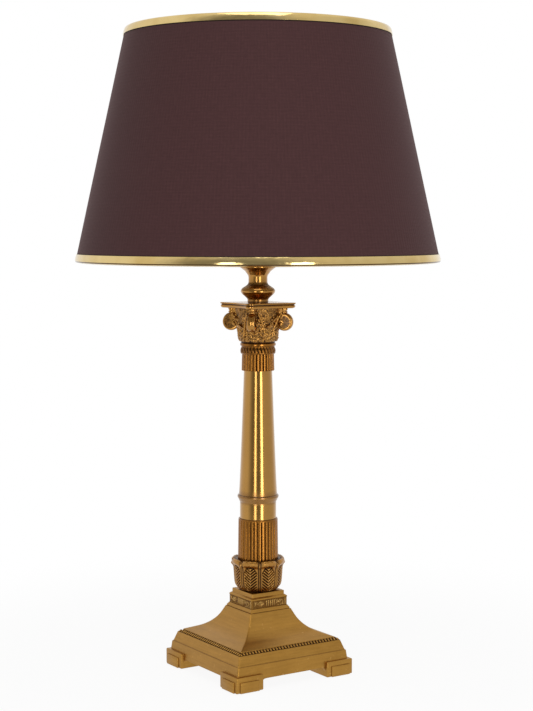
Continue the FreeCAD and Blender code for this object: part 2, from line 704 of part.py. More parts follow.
def acanthus_leaf(height, proud):
    """One leaf on the bell's +X side: a curled strip of revolution, cut to a pointed-arch outline."""
    low = BELL_Z + 0.4
    tip = low + height
    foot_radius = bell_radius(0)
    back_radius = bell_radius(height / BELL_HEIGHT)
    root = foot_radius - 2.0
    span = 60.0
    strip = Part.Face(rounded_outline([
        (root, low),
        (foot_radius + proud, low, 0.4),
        (back_radius + proud - 0.4, tip - LEAF_CURL * 1.7, 4.0),
        (back_radius + proud + LEAF_CURL, tip - LEAF_CURL * 0.5, 1.2),
        (back_radius + proud + LEAF_CURL * 0.3, tip, 1.2),
        (root, tip - 0.6),
    ])).revolve(ORIGIN, UP, span)
    strip.rotate(ORIGIN, UP, -span / 2)
    half = LEAF_WIDTH / 2
    waist = low + height * 0.45
    edges = [
        Part.Arc(Vector(0, -half * 0.8, low), Vector(0, -half * 0.96, (low + waist) / 2), Vector(0, -half, waist)),
        Part.Arc(Vector(0, -half, waist), Vector(0, -half * 0.72, (waist + tip) / 2 + 2.4), Vector(0, 0, tip + 0.2)),
        Part.Arc(Vector(0, 0, tip + 0.2), Vector(0, half * 0.72, (waist + tip) / 2 + 2.4), Vector(0, half, waist)),
        Part.Arc(Vector(0, half, waist), Vector(0, half * 0.96, (low + waist) / 2), Vector(0, half * 0.8, low)),
        Part.LineSegment(Vector(0, half * 0.8, low), Vector(0, -half * 0.8, low)),
    ]
    outline = Part.Face(Part.Wire([edge.toShape() for edge in edges]))
    return strip.common(outline.extrude(Vector(2 * BELL_HEAD_RADIUS, 0, 0)))


def capital():
    """The cast bell with its leaves, its four corner volutes and their studs."""
    rise = BELL_HEIGHT
    bell = turned([
        (ROD_HOLE_RADIUS, BELL_Z),
        (BELL_FOOT_RADIUS, BELL_Z, 0.4),
        (bell_radius(0.30), BELL_Z + 0.30 * rise, 30.0),
        (bell_radius(0.70), BELL_Z + 0.70 * rise, 20.0),
        (BELL_HEAD_RADIUS, ABACUS_Z),
        (ROD_HOLE_RADIUS, ABACUS_Z),
    ])
    corner = [volute(), corner_stud(), corner_web()]
    corners = [copy for piece in corner for copy in around(piece, 4, 45.0)]
    leaves = around(acanthus_leaf(LEAF_HEIGHT, LEAF_PROUD), LEAF_COUNT)
    upper_leaves = around(acanthus_leaf(UPPER_LEAF_HEIGHT, UPPER_LEAF_PROUD), LEAF_COUNT, 180.0 / LEAF_COUNT)
    body = bell.fuse(corners + upper_leaves + leaves)
    body = body.cut(tube_hole(ROD_HOLE_RADIUS, BELL_Z, ABACUS_Z))
    return one_solid(body)


def abacus_outline(inset):
    """The abacus in plan: four blunt corners joined by hollow sides."""
    corner_x = (ABACUS_CORNER_REACH - inset) / math.sqrt(2)
    blunt = ABACUS_CORNER_WIDTH / 2 / math.sqrt(2)
    edges = []
    for turn in range(4):
        start = Vector(corner_x + blunt, -(corner_x - blunt), 0)
        end = Vector(corner_x + blunt, corner_x - blunt, 0)
        middle = Vector(corner_x + blunt - ABACUS_SIDE_SAG, 0, 0)
        side = Part.Arc(start, middle, end).toShape()
        cap_end = Vector(corner_x - blunt, corner_x + blunt, 0)
        cap = Part.LineSegment(end, cap_end).toShape()
        for edge in (side, cap):
            edge.rotate(ORIGIN, UP, 90 * turn)
            edges.append(edge)
    return Part.Wire(Part.__sortEdges__(edges))


def abacus():
    """The hollow-sided plate on the capital, its lower half drawn in."""
    top = ABACUS_Z + ABACUS_THICK
    waist = ABACUS_Z + ABACUS_THICK * 0.45
    foot_wire = abacus_outline(ABACUS_UNDERCUT)
    foot_wire.translate(Vector(0, 0, ABACUS_Z))
    waist_wire = abacus_outline(0)
    waist_wire.translate(Vector(0, 0, waist))
    lower = Part.makeLoft([foot_wire, waist_wire], True, True)
    upper = Part.Face(waist_wire).extrude(Vector(0, 0, top - waist))
    return one_solid(lower.fuse(upper).cut(tube_hole(ROD_HOLE_RADIUS, ABACUS_Z, top)))


def neck_spindle():
    """The turned neck: a foot, a sharp knop, a waist and the cup that the lampholder stands in."""
    top = NECK_Z + NECK_HEIGHT
    recess = HOLDER_CAP_FOOT_RADIUS + SLIP
    knop_z = NECK_Z + 11.0
    return turned([
        (ROD_HOLE_RADIUS, NECK_Z),
        (NECK_FOOT_RADIUS, NECK_Z),
        (NECK_FOOT_RADIUS, NECK_Z + 3.6, 2.5),
        (NECK_KNOP_RADIUS - 0.8, knop_z - 2.6, 2.0),
        (NECK_KNOP_RADIUS + 0.2, knop_z, 1.4),
        (NECK_KNOP_RADIUS - 0.6, knop_z + 2.2, 1.6),
        (NECK_WAIST_RADIUS, knop_z + 7.4, 4.5),
        (NECK_WAIST_RADIUS, knop_z + 12.6, 10.0),
        (NECK_CUP_RADIUS, top - 1.4, 0.6),
        (NECK_CUP_RADIUS, top, 0.5),
        (recess, top),
        (recess, top - NECK_RECESS),
        (ROD_HOLE_RADIUS, top - NECK_RECESS),
    ])


# ---- tie rod ----

def tie_rod():
    tube = rod(ROD_RADIUS, Vector(0, 0, ROD_Z), Vector(0, 0, ROD_TOP_Z))
    return tube.cut(tube_hole(ROD_BORE_RADIUS, ROD_Z, ROD_TOP_Z))


def tie_rod_nut():
    corner = NUT_FLATS / math.sqrt(3)
    points = []
    for i in range(7):
        turn = math.radians(60 * i)
        points.append(Vector(corner * math.cos(turn), corner * math.sin(turn), NUT_Z))
    prism = Part.Face(Part.makePolygon(points)).extrude(Vector(0, 0, NUT_HEIGHT))
    return prism.cut(tube_hole(ROD_RADIUS + RUN_CLEARANCE, NUT_Z, NUT_Z + NUT_HEIGHT))


def tie_rod_washer():
    plate = rod(WASHER_RADIUS, Vector(0, 0, WASHER_Z), Vector(0, 0, WASHER_Z + WASHER_THICK))
    return plate.cut(tube_hole(ROD_HOLE_RADIUS, WASHER_Z, WASHER_Z + WASHER_THICK))


# ---- lampholder ----

def lampholder_cap():
    """The domed lower shell, screwed down on the rod's end by its hub."""
    bore = ROD_RADIUS + RUN_CLEARANCE
    inside = HOLDER_RADIUS - HOLDER_WALL
    floor = HOLDER_Z + HOLDER_WALL
    return turned([
        (bore, HOLDER_Z),
        (HOLDER_CAP_FOOT_RADIUS, HOLDER_Z),
        (HOLDER_CAP_FOOT_RADIUS, HOLDER_Z + 3.0, 1.0),
        (HOLDER_RADIUS, HOLDER_Z + 9.0, 6.0),
        (HOLDER_RADIUS, HOLDER_SHELL_Z),
        (inside, HOLDER_SHELL_Z),
        (inside, HOLDER_Z + 9.5, 5.0),
        (HOLDER_CAP_FOOT_RADIUS - HOLDER_WALL, HOLDER_Z + 3.6, 1.0),
        (HOLDER_CAP_FOOT_RADIUS - HOLDER_WALL, floor),
        (HOLDER_HUB_RADIUS, floor),
        (HOLDER_HUB_RADIUS, HOLDER_Z + HOLDER_HUB_HEIGHT),
        (bore, HOLDER_Z + HOLDER_HUB_HEIGHT),
    ])


def lampholder_shell():
    """The upper shell, with the flange that carries the shade."""
    top = HOLDER_SHELL_Z + HOLDER_SHELL_HEIGHT
    inside = HOLDER_RADIUS - HOLDER_WALL
    flange_z = FLANGE_TOP_Z - HOLDER_FLANGE_THICK
    return turned([
        (inside, HOLDER_SHELL_Z),
        (HOLDER_RADIUS, HOLDER_SHELL_Z),
        (HOLDER_RADIUS, flange_z),
        (HOLDER_FLANGE_RADIUS, flange_z),
        (HOLDER_FLANGE_RADIUS, FLANGE_TOP_Z),
        (HOLDER_RADIUS, FLANGE_TOP_Z),
        (HOLDER_RADIUS, top),
        (inside - 2.2, top),
        (inside - 2.2, top - HOLDER_WALL),
        (inside, top - HOLDER_WALL),
    ])


def screw_shell_radius():
    """The outside of the metal screw shell, from the bulb's cap outwards."""
    return BULB_CAP_RADIUS + REST_GAP + SCREW_SHELL_WALL


def lampholder_insert():
    """The ceramic insert: a block with a round seat for the screw shell."""
    outside = HOLDER_RADIUS - HOLDER_WALL - SLIP
    seat = screw_shell_radius() + RUN_CLEARANCE
    body = turned([
        (0, INSERT_Z),
        (TERMINAL_OFFSET + TERMINAL_HEAD_RADIUS + 0.4, INSERT_Z, 0.8),
        (outside, INSERT_Z + 4.0),
        (outside, INSERT_TOP_Z, 0.8),
        (seat, INSERT_TOP_Z),
        (seat, INSERT_TOP_Z - SCREW_SHELL_SEAT),
        (seat - 1.2, INSERT_TOP_Z - SCREW_SHELL_SEAT),
        (seat - 1.2, INSERT_TOP_Z),
        (0, INSERT_TOP_Z),
    ])
    holes = []
    for side in (-1, 1):
        point = Vector(side * TERMINAL_OFFSET, 0, INSERT_Z)
        holes.append(rod(TERMINAL_RADIUS + RUN_CLEARANCE, point + UP * -1, point + UP * TERMINAL_LENGTH))
    return one_solid(body.cut(Part.makeCompound(holes)))


def terminal_screws():
    screws = []
    for side in (-1, 1):
        point = Vector(side * TERMINAL_OFFSET, 0, INSERT_Z)
        head = rod(TERMINAL_HEAD_RADIUS, point - UP * TERMINAL_HEAD_HEIGHT, point)
        shank = rod(TERMINAL_RADIUS, point, point + UP * (TERMINAL_LENGTH - SLIP))
        slot = Part.makeBox(0.7, 4 * TERMINAL_HEAD_RADIUS, 0.8)
        slot.translate(point - UP * (TERMINAL_HEAD_HEIGHT + 0.1) - Vector(0.35, 2 * TERMINAL_HEAD_RADIUS, 0))
        screws.append(one_solid(head.fuse(shank).cut(slot)))
    return Part.makeCompound(screws)


def screw_shell():
    low = INSERT_TOP_Z - SCREW_SHELL_SEAT
    outside = screw_shell_radius()
    inside = outside - SCREW_SHELL_WALL
    return turned([
        (inside, low),
        (outside, low),
        (outside, low + SCREW_SHELL_HEIGHT),
        (inside, low + SCREW_SHELL_HEIGHT),
    ])


def centre_contact():
    """A bent spring tongue that presses on the bulb's end."""
    half = BULB_CAP_RADIUS * 0.7
    tip = INSERT_TOP_Z + CONTACT_RISE
    profile = rounded_outline([
        (-half, INSERT_TOP_Z),
        (-half * 0.2, INSERT_TOP_Z),
        (half * 0.15, tip - CONTACT_THICK, 1.0),
        (half * 0.7, tip - CONTACT_THICK),
        (half * 0.7, tip),
        (half * 0.05, tip, 1.0),
        (-half * 0.3, INSERT_TOP_Z + CONTACT_THICK),
        (-half, INSERT_TOP_Z + CONTACT_THICK),
    ])
    tongue = Part.Face(profile).extrude(Vector(0, CONTACT_WIDTH, 0))
    tongue.translate(Vector(0, -CONTACT_WIDTH / 2, 0))
    return tongue


def clamp_ring():
    """The screwed ring that holds the shade's carrier down, with a grooved rim to grip."""
    bore = HOLDER_RADIUS + RUN_CLEARANCE
    ring = turned([
        (bore, CLAMP_RING_Z),
        (CLAMP_RING_RADIUS, CLAMP_RING_Z, 0.4),
        (CLAMP_RING_RADIUS, CLAMP_RING_Z + CLAMP_RING_FLANGE, 0.6),
        (CLAMP_RING_COLLAR, CLAMP_RING_Z + CLAMP_RING_FLANGE),
        (CLAMP_RING_COLLAR, CLAMP_RING_Z + CLAMP_RING_HEIGHT, 0.6),
        (bore, CLAMP_RING_Z + CLAMP_RING_HEIGHT),
    ])
    grip = Part.makeCylinder(
        CLAMP_RING_GRIP_RADIUS, 2 * CLAMP_RING_FLANGE, Vector(CLAMP_RING_RADIUS + 0.5, 0, CLAMP_RING_Z - 1)
    )
    return one_solid(ring.cut(Part.makeCompound(around(grip, CLAMP_RING_GRIPS))))


# ---- bulb ----

def bulb_contact():
    return rod(BULB_CONTACT_RADIUS, Vector(0, 0, BULB_Z), Vector(0, 0, BULB_Z + BULB_CONTACT_THICK))


def bulb_insulator():
    low = BULB_Z + BULB_CONTACT_THICK
    cone = Part.makeCone(
        BULB_CONTACT_RADIUS, BULB_CAP_RADIUS - 1.0, BULB_INSULATOR_HEIGHT, Vector(0, 0, low)
    )
    return cone


def bulb_cap():
    low = BULB_Z + BULB_CONTACT_THICK + BULB_INSULATOR_HEIGHT
    top = low + BULB_CAP_LENGTH
    return turned([
        (0, low),
        (BULB_CAP_RADIUS - 1.0, low),
        (BULB_CAP_RADIUS, low + 1.4),
        (BULB_CAP_RADIUS, top - 2.0),
        (BULB_CAP_RADIUS - 0.6, top),
        (0, top),
    ])


def bulb_profile(inset):
    """The glass in section, right of the axis, moved in by the wall for the inside."""
    top = BULB_Z + BULB_LENGTH
    ball = BULB_RADIUS - inset
    centre_z = top - BULB_RADIUS
    neck = BULB_CAP_RADIUS - inset
    low = BULB_Z + BULB_CONTACT_THICK + BULB_INSULATOR_HEIGHT + BULB_CAP_LENGTH + inset
    lean = math.radians(-32.0)
    ball_point = Vector(ball * math.cos(lean), 0, centre_z + ball * math.sin(lean))
    ball_side = Vector(ball, 0, centre_z)
    shoulder = Vector(neck, 0, low + 3.0)
    bend = Vector(neck + (ball_point.x - neck) * 0.30, 0, shoulder.z + (ball_point.z - shoulder.z) * 0.52)
    edges = [
        Part.LineSegment(Vector(0, 0, low), Vector(neck, 0, low)),
        Part.LineSegment(Vector(neck, 0, low), shoulder),
        Part.Arc(shoulder, bend, ball_point),
        Part.Arc(ball_point, Vector(ball * math.cos(lean / 2), 0, centre_z + ball * math.sin(lean / 2)), ball_side),
        Part.Arc(
            ball_side,
            Vector(ball * math.sqrt(0.5), 0, centre_z + ball * math.sqrt(0.5)),
            Vector(0, 0, centre_z + ball),
        ),
        Part.LineSegment(Vector(0, 0, centre_z + ball), Vector(0, 0, low)),
    ]
    return Part.Face(Part.Wire([edge.toShape() for edge in edges])).revolve(ORIGIN, UP, 360)


def bulb_glass():
    return bulb_profile(0).cut(bulb_profile(BULB_GLASS_WALL))


# ---- shade ----

SHADE_SLANT = math.hypot(SHADE_FOOT_RADIUS - SHADE_HEAD_RADIUS, SHADE_HEIGHT)


def on_wall(along, depth):
    """(radius, z) of a point a distance up the shade's wall and a depth inside its outer face."""
    up = Vector(SHADE_HEAD_RADIUS - SHADE_FOOT_RADIUS, 0, SHADE_HEIGHT) * (1 / SHADE_SLANT)
    point = Vector(SHADE_FOOT_RADIUS, 0, SHADE_FOOT_Z) + up * along + Vector(-up.z, 0, up.x) * depth
    return (point.x, point.z)


def wall_ring(low, high, outer, inner):
    """A conical layer of the shade's wall."""
    return turned([on_wall(low, outer), on_wall(high, outer), on_wall(high, inner), on_wall(low, inner)])


LINER_DEPTH = FABRIC_THICK + GLUE_GAP
WIRE_DEPTH = LINER_DEPTH + LINER_THICK + GLUE_GAP + WIRE_RADIUS
RETURN_DEPTH = WIRE_DEPTH + WIRE_RADIUS + GLUE_GAP


def shade_fabric():
    return wall_ring(0, SHADE_SLANT, 0, FABRIC_THICK)


def shade_liner():
    return wall_ring(0, SHADE_SLANT, LINER_DEPTH, LINER_DEPTH + LINER_THICK)


def trim(edge, up, width):
    """A folded band over one edge of the shade: outer leg, turned edge and inner leg."""
    fold = edge - up * GLUE_GAP
    outside = fold - up * TRIM_THICK
    return turned([
        on_wall(edge + up * width, -GLUE_GAP - TRIM_THICK),
        on_wall(outside, -GLUE_GAP - TRIM_THICK),
        on_wall(outside, RETURN_DEPTH + TRIM_THICK),
        on_wall(edge + up * TRIM_RETURN, RETURN_DEPTH + TRIM_THICK),
        on_wall(edge + up * TRIM_RETURN, RETURN_DEPTH),
        on_wall(fold, RETURN_DEPTH),
        on_wall(fold, -GLUE_GAP),
        on_wall(edge + up * width, -GLUE_GAP),
    ])


def wire_place(edge, up):
    return on_wall(edge + up * WIRE_RADIUS, WIRE_DEPTH)


def wire_ring(place):
    return Part.makeTorus(place[0], WIRE_RADIUS, Vector(0, 0, place[1]))


def shade_top_wire():
    return wire_ring(wire_place(SHADE_SLANT, -1))


def shade_bottom_wire():
    return wire_ring(wire_place(0, 1))


def carrier_arm(radius, short):
    """One arm of the carrier on the +X side, level at first and then down towards the lower wire's middle.

    It ends a distance short of that middle."""
    ring_radius, ring_z = wire_place(0, 1)
    weld = 0.6
    level = CARRIER_EYE_Z + CARRIER_EYE_THICK - CARRIER_ARM_DROP - CARRIER_ARM_RADIUS
    start = Vector(CARRIER_EYE_RADIUS - weld, 0, level)
    knee = Vector(CARRIER_EYE_RADIUS + CARRIER_ARM_LEVEL, 0, level)
    middle = Vector(ring_radius, 0, ring_z)
    end = middle + (knee - middle).normalize() * short
    return rod(radius, start, knee).fuse([Part.makeSphere(radius, knee), rod(radius, knee, end)])


def shade_carrier():
    """The eye that sits on the lampholder and the arms that run out to the lower wire."""
    eye_top = CARRIER_EYE_Z + CARRIER_EYE_THICK
    eye_bore = HOLDER_RADIUS + SLIP
    eye = turned([
        (eye_bore, CARRIER_EYE_Z),
        (CARRIER_EYE_RADIUS, CARRIER_EYE_Z),
        (CARRIER_EYE_RADIUS, eye_top),
        (eye_bore, eye_top),
    ])
    arm = carrier_arm(CARRIER_ARM_RADIUS, WIRE_RADIUS + WELD_GAP)
    return one_solid(eye.fuse(around(arm, CARRIER_ARMS, CARRIER_FIRST_ARM)))


def shade_trim_bottom():
    """The lower trim, its inner leg notched over the carrier's arms."""
    notch = carrier_arm(CARRIER_ARM_RADIUS + SLIP, 0)
    notches = Part.makeCompound(around(notch, CARRIER_ARMS, CARRIER_FIRST_ARM))
    return one_solid(trim(0, 1, TRIM_FOOT_WIDTH).cut(notches))


def shade_trim_top():
    return trim(SHADE_SLANT, -1, TRIM_HEAD_WIDTH)


NODES = {
    "base_casting": base_casting,
    "felt_pads": felt_pads,
    "cord_bush": cord_bush,
    "pedestal_block": pedestal_block,
    "leaf_cup": leaf_cup,
    "fluted_drum": fluted_drum,
    "shaft_band": shaft_band,
    "column_shaft": column_shaft,
    "fluted_collar": fluted_collar,
    "bead_ring": bead_ring,
    "astragal": astragal,
    "capital": capital,
    "abacus": abacus,
    "neck_spindle": neck_spindle,
    "tie_rod": tie_rod,
    "tie_rod_nut": tie_rod_nut,
    "tie_rod_washer": tie_rod_washer,
    "lampholder_cap": lampholder_cap,
    "lampholder_shell": lampholder_shell,
    "lampholder_insert": lampholder_insert,
    "terminal_screws": terminal_screws,
    "screw_shell": screw_shell,
    "centre_contact": centre_contact,
    "clamp_ring": clamp_ring,
    "bulb_contact": bulb_contact,
    "bulb_insulator": bulb_insulator,
    "bulb_cap": bulb_cap,
    "bulb_glass": bulb_glass,
    "shade_fabric": shade_fabric,
    "shade_liner": shade_liner,
    "shade_trim_top": shade_trim_top,
    "shade_trim_bottom": shade_trim_bottom,
    "shade_top_wire": shade_top_wire,
    "shade_bottom_wire": shade_bottom_wire,
    "shade_carrier": shade_carrier,
}

os.makedirs("parts", exist_ok=True)
for node_name, make in NODES.items():
    write(node_name, make())
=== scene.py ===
import math

import bmesh
import bpy
import numpy as np
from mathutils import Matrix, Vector


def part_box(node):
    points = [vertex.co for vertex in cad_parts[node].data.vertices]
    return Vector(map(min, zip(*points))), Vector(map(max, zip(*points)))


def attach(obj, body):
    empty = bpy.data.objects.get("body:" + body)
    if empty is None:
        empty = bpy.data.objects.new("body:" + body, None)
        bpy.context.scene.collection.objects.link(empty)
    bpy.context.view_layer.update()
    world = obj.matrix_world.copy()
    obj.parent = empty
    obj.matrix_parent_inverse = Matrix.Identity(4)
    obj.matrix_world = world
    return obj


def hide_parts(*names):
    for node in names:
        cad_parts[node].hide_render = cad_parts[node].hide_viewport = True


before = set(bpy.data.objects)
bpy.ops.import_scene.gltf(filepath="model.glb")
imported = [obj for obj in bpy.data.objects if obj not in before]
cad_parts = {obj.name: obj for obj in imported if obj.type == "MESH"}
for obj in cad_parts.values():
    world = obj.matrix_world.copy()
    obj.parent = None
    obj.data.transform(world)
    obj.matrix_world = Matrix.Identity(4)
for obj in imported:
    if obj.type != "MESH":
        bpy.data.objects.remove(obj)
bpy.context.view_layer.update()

# Looks of the column table lamp. Lengths are in millimetres and turn into metres when a mesh is made, and
# heights come from the frame's nodes. Outlines are lists of (radius or half width, height), and a third
# number is the radius that rounds the corner. Soil is the dark patina of the hollows, from -0.3 for a worn
# edge to 1, and is kept in the attribute "patina".
MM = 0.001
TURN = 2 * math.pi
QUARTER = math.pi / 2
CORNER = math.pi / 4
SHARP_ANGLE = math.radians(38)
ROUND_COLUMNS = 160
HOLDER_COLUMNS = 96
SHADE_COLUMNS = 360
BORE = 5.3


def ends(node):
    """A node's lowest and highest height."""
    lowest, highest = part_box(node)
    return lowest.z / MM, highest.z / MM


def low(node):
    return ends(node)[0]


def high(node):
    return ends(node)[1]


def add_object(name, data):
    made = bpy.data.objects.new(name, data)
    bpy.context.scene.collection.objects.link(made)
    return made


# ---- camera ----

FRAME_LONG_SIDE = 711
FOCAL_PIXELS = 1604.0
CAMERA_DISTANCE = 1.560
CAMERA_HEIGHT = 0.4369
CAMERA_TURN = math.radians(32.79)
CAMERA_PITCH = math.radians(4.60)
CAMERA_YAW = math.radians(0.305)
SENSOR = 36.0


def make_camera():
    data = bpy.data.cameras.new("photo_camera")
    data.sensor_fit = "AUTO"
    data.sensor_width = SENSOR
    data.lens = FOCAL_PIXELS * SENSOR / FRAME_LONG_SIDE
    camera = add_object("photo_camera", data)
    camera.location = (
        -CAMERA_DISTANCE * math.sin(CAMERA_TURN), -CAMERA_DISTANCE * math.cos(CAMERA_TURN), CAMERA_HEIGHT
    )
    camera.rotation_euler = (QUARTER - CAMERA_PITCH, 0, -CAMERA_TURN - CAMERA_YAW)
    bpy.context.scene.camera = camera


make_camera()


# ---- mesh tools ----

def smoothstep(edge0, edge1, x):
    t = np.clip((x - edge0) / (edge1 - edge0), 0, 1)
    return t * t * (3 - 2 * t)


def hump(x, width, middle=0.0):
    """A soft bump of height one."""
    return np.exp(-((x - middle) / width) ** 2)


def around(columns):
    return np.arange(columns) * TURN / columns


def phase(angles, count, shift=0.0):
    """Where an angle falls in a pattern that repeats count times in a turn, from -0.5 to 0.5."""
    return np.mod(angles * count / TURN + shift, 1.0) - 0.5


def circle(count):
    return [(math.cos(TURN * k / count), math.sin(TURN * k / count)) for k in range(count)]


def turn_z(point, angle):
    c, s = math.cos(angle), math.sin(angle)
    return (point[0] * c - point[1] * s, point[0] * s + point[1] * c, point[2])


def rounded(corners, steps=6):
    """Points of a closed outline through (x, z) or (x, z, radius) corners, each rounded to its radius."""
    points = []
    for i, corner in enumerate(corners):
        here = Vector(corner[:2])
        radius = corner[2] if len(corner) > 2 else 0
        to_last = (Vector(corners[i - 1][:2]) - here).normalized()
        to_next = (Vector(corners[(i + 1) % len(corners)][:2]) - here).normalized()
        half = to_last.angle(to_next) / 2
        if radius == 0 or QUARTER - half < 1e-3:
            points.append(here)
            continue
        middle = here + (to_last + to_next).normalized() * (radius / math.sin(half))
        start = here + to_last * (radius / math.tan(half)) - middle
        sweep = math.pi - 2 * half
        side = 1 if to_last.x * to_next.y - to_last.y * to_next.x < 0 else -1
        for step in range(steps + 1):
            x, y, _ = turn_z((start.x, start.y, 0), side * sweep * step / steps)
            points.append(middle + Vector((x, y)))
    return [(p.x, p.y) for p in points]


def smooth(mesh, sharp):
    """Shades a mesh smooth up to an angle, and gives it clean patina if it has none."""
    if "patina" not in mesh.attributes:
        mesh.attributes.new("patina", "FLOAT", "POINT")
    mesh.polygons.foreach_set("use_smooth", [True] * len(mesh.polygons))
    mesh.set_sharp_from_angle(angle=sharp)


def finish_piece(name, mesh, work, sharp):
    """Turns a bmesh into a piece."""
    bmesh.ops.recalc_face_normals(work, faces=work.faces)
    work.to_mesh(mesh)
    work.free()
    smooth(mesh, sharp)
    return add_object(name, mesh)


def make_object(name, verts, faces, soil=None, sharp=SHARP_ANGLE, uv=None):
    """A piece from points, with a soil value at each point."""
    mesh = bpy.data.meshes.new(name)
    mesh.from_pydata([(x * MM, y * MM, z * MM) for x, y, z in verts], [], faces)
    if uv is not None:
        layer = mesh.uv_layers.new(name="weave")
        for loop in mesh.loops:
            layer.data[loop.index].uv = uv(loop.index, loop.vertex_index)
    if soil is not None:
        patina = mesh.attributes.new("patina", "FLOAT", "POINT")
        patina.data.foreach_set("value", np.asarray(soil, dtype=np.float32))
    work = bmesh.new()
    work.from_mesh(mesh)
    bmesh.ops.remove_doubles(work, verts=work.verts, dist=1e-7)
    bmesh.ops.dissolve_degenerate(work, edges=work.edges, dist=1e-7)
    return finish_piece(name, mesh, work, sharp)


def grid_faces(rows, columns, wrap_rows=False):
    faces = []
    for i in range(rows if wrap_rows else rows - 1):
        here, above = i * columns, (i + 1) % rows * columns
        for j in range(columns):
            right = (j + 1) % columns
            faces.append((here + j, here + right, above + right, above + j))
    return faces


def capped(rows, columns):
    """An open grid's faces with both its ends closed."""
    last = (rows - 1) * columns
    lids = [tuple(range(columns)), tuple(last + k for k in reversed(range(columns)))]
    return grid_faces(rows, columns) + lids


def turned(name, rows, columns, closed=True):
    """A turned piece from rows of (radius, height, soil), each one number or one for every column."""
    angles = around(columns)
    verts = []
    dirt = []
    for row in rows:
        radii, heights, soil = (np.broadcast_to(part, angles.shape) for part in row)
        verts += zip(radii * np.cos(angles), radii * np.sin(angles), heights)
        dirt += list(soil)
    return make_object(name, verts, grid_faces(len(rows), columns, closed), dirt)


def lathe(name, outline, columns=ROUND_COLUMNS, closed=True, soil=lambda radius, z: 0.0):
    """A turned piece from an outline."""
    return turned(name, [(radius, z, soil(radius, z)) for radius, z in outline], columns, closed)


def square_lathe(name, outline, corner, soil):
    """A four-sided moulding from an outline, with softened hips that carry a worn edge."""
    verts = []
    dirt = []
    for half, z in outline:
        blunt = min(corner, half * 0.45)
        centre = half - blunt
        support = centre - min(1.6, half * 0.3)
        side = [(half, support, 0.0)]
        for step in range(5):
            a = QUARTER * step / 4
            side.append((centre + blunt * math.cos(a), centre + blunt * math.sin(a), 1.0))
        side.append((support, half, 0.0))
        dark = soil(half, z)
        for turn in range(4):
            verts += [turn_z((x, y, z), turn * QUARTER) for x, y, wear in side]
            dirt += [dark - 0.5 * wear * (1 - dark) for x, y, wear in side]
    return make_object(name, verts, grid_faces(len(outline), len(verts) // len(outline), True), dirt)


def runs(points):
    """A path's direction at each of its points."""
    last = len(points) - 1
    return [(points[min(last, i + 1)] - points[max(0, i - 1)]).normalized() for i in range(last + 1)]


def swept(path, section):
    """Verts and faces of a closed section carried along a path.

    The path holds (point, side, out) vectors, and section(i) is a list of offsets as (side, out) pairs."""
    verts = []
    for i, (point, side, out) in enumerate(path):
        verts += [tuple(point + side * a + out * b) for a, b in section(i)]
    return verts, capped(len(path), len(section(0)))


def spun(parts, first=0.0):
    """Four copies of all parts round the axis, joined into one list of verts and faces."""
    verts = []
    faces = []
    for k in range(4):
        for part_verts, part_faces in parts:
            shift = len(verts)
            verts += [turn_z(v, first + k * QUARTER) for v in part_verts]
            faces += [tuple(n + shift for n in face) for face in part_faces]
    return verts, faces


# ---- materials ----

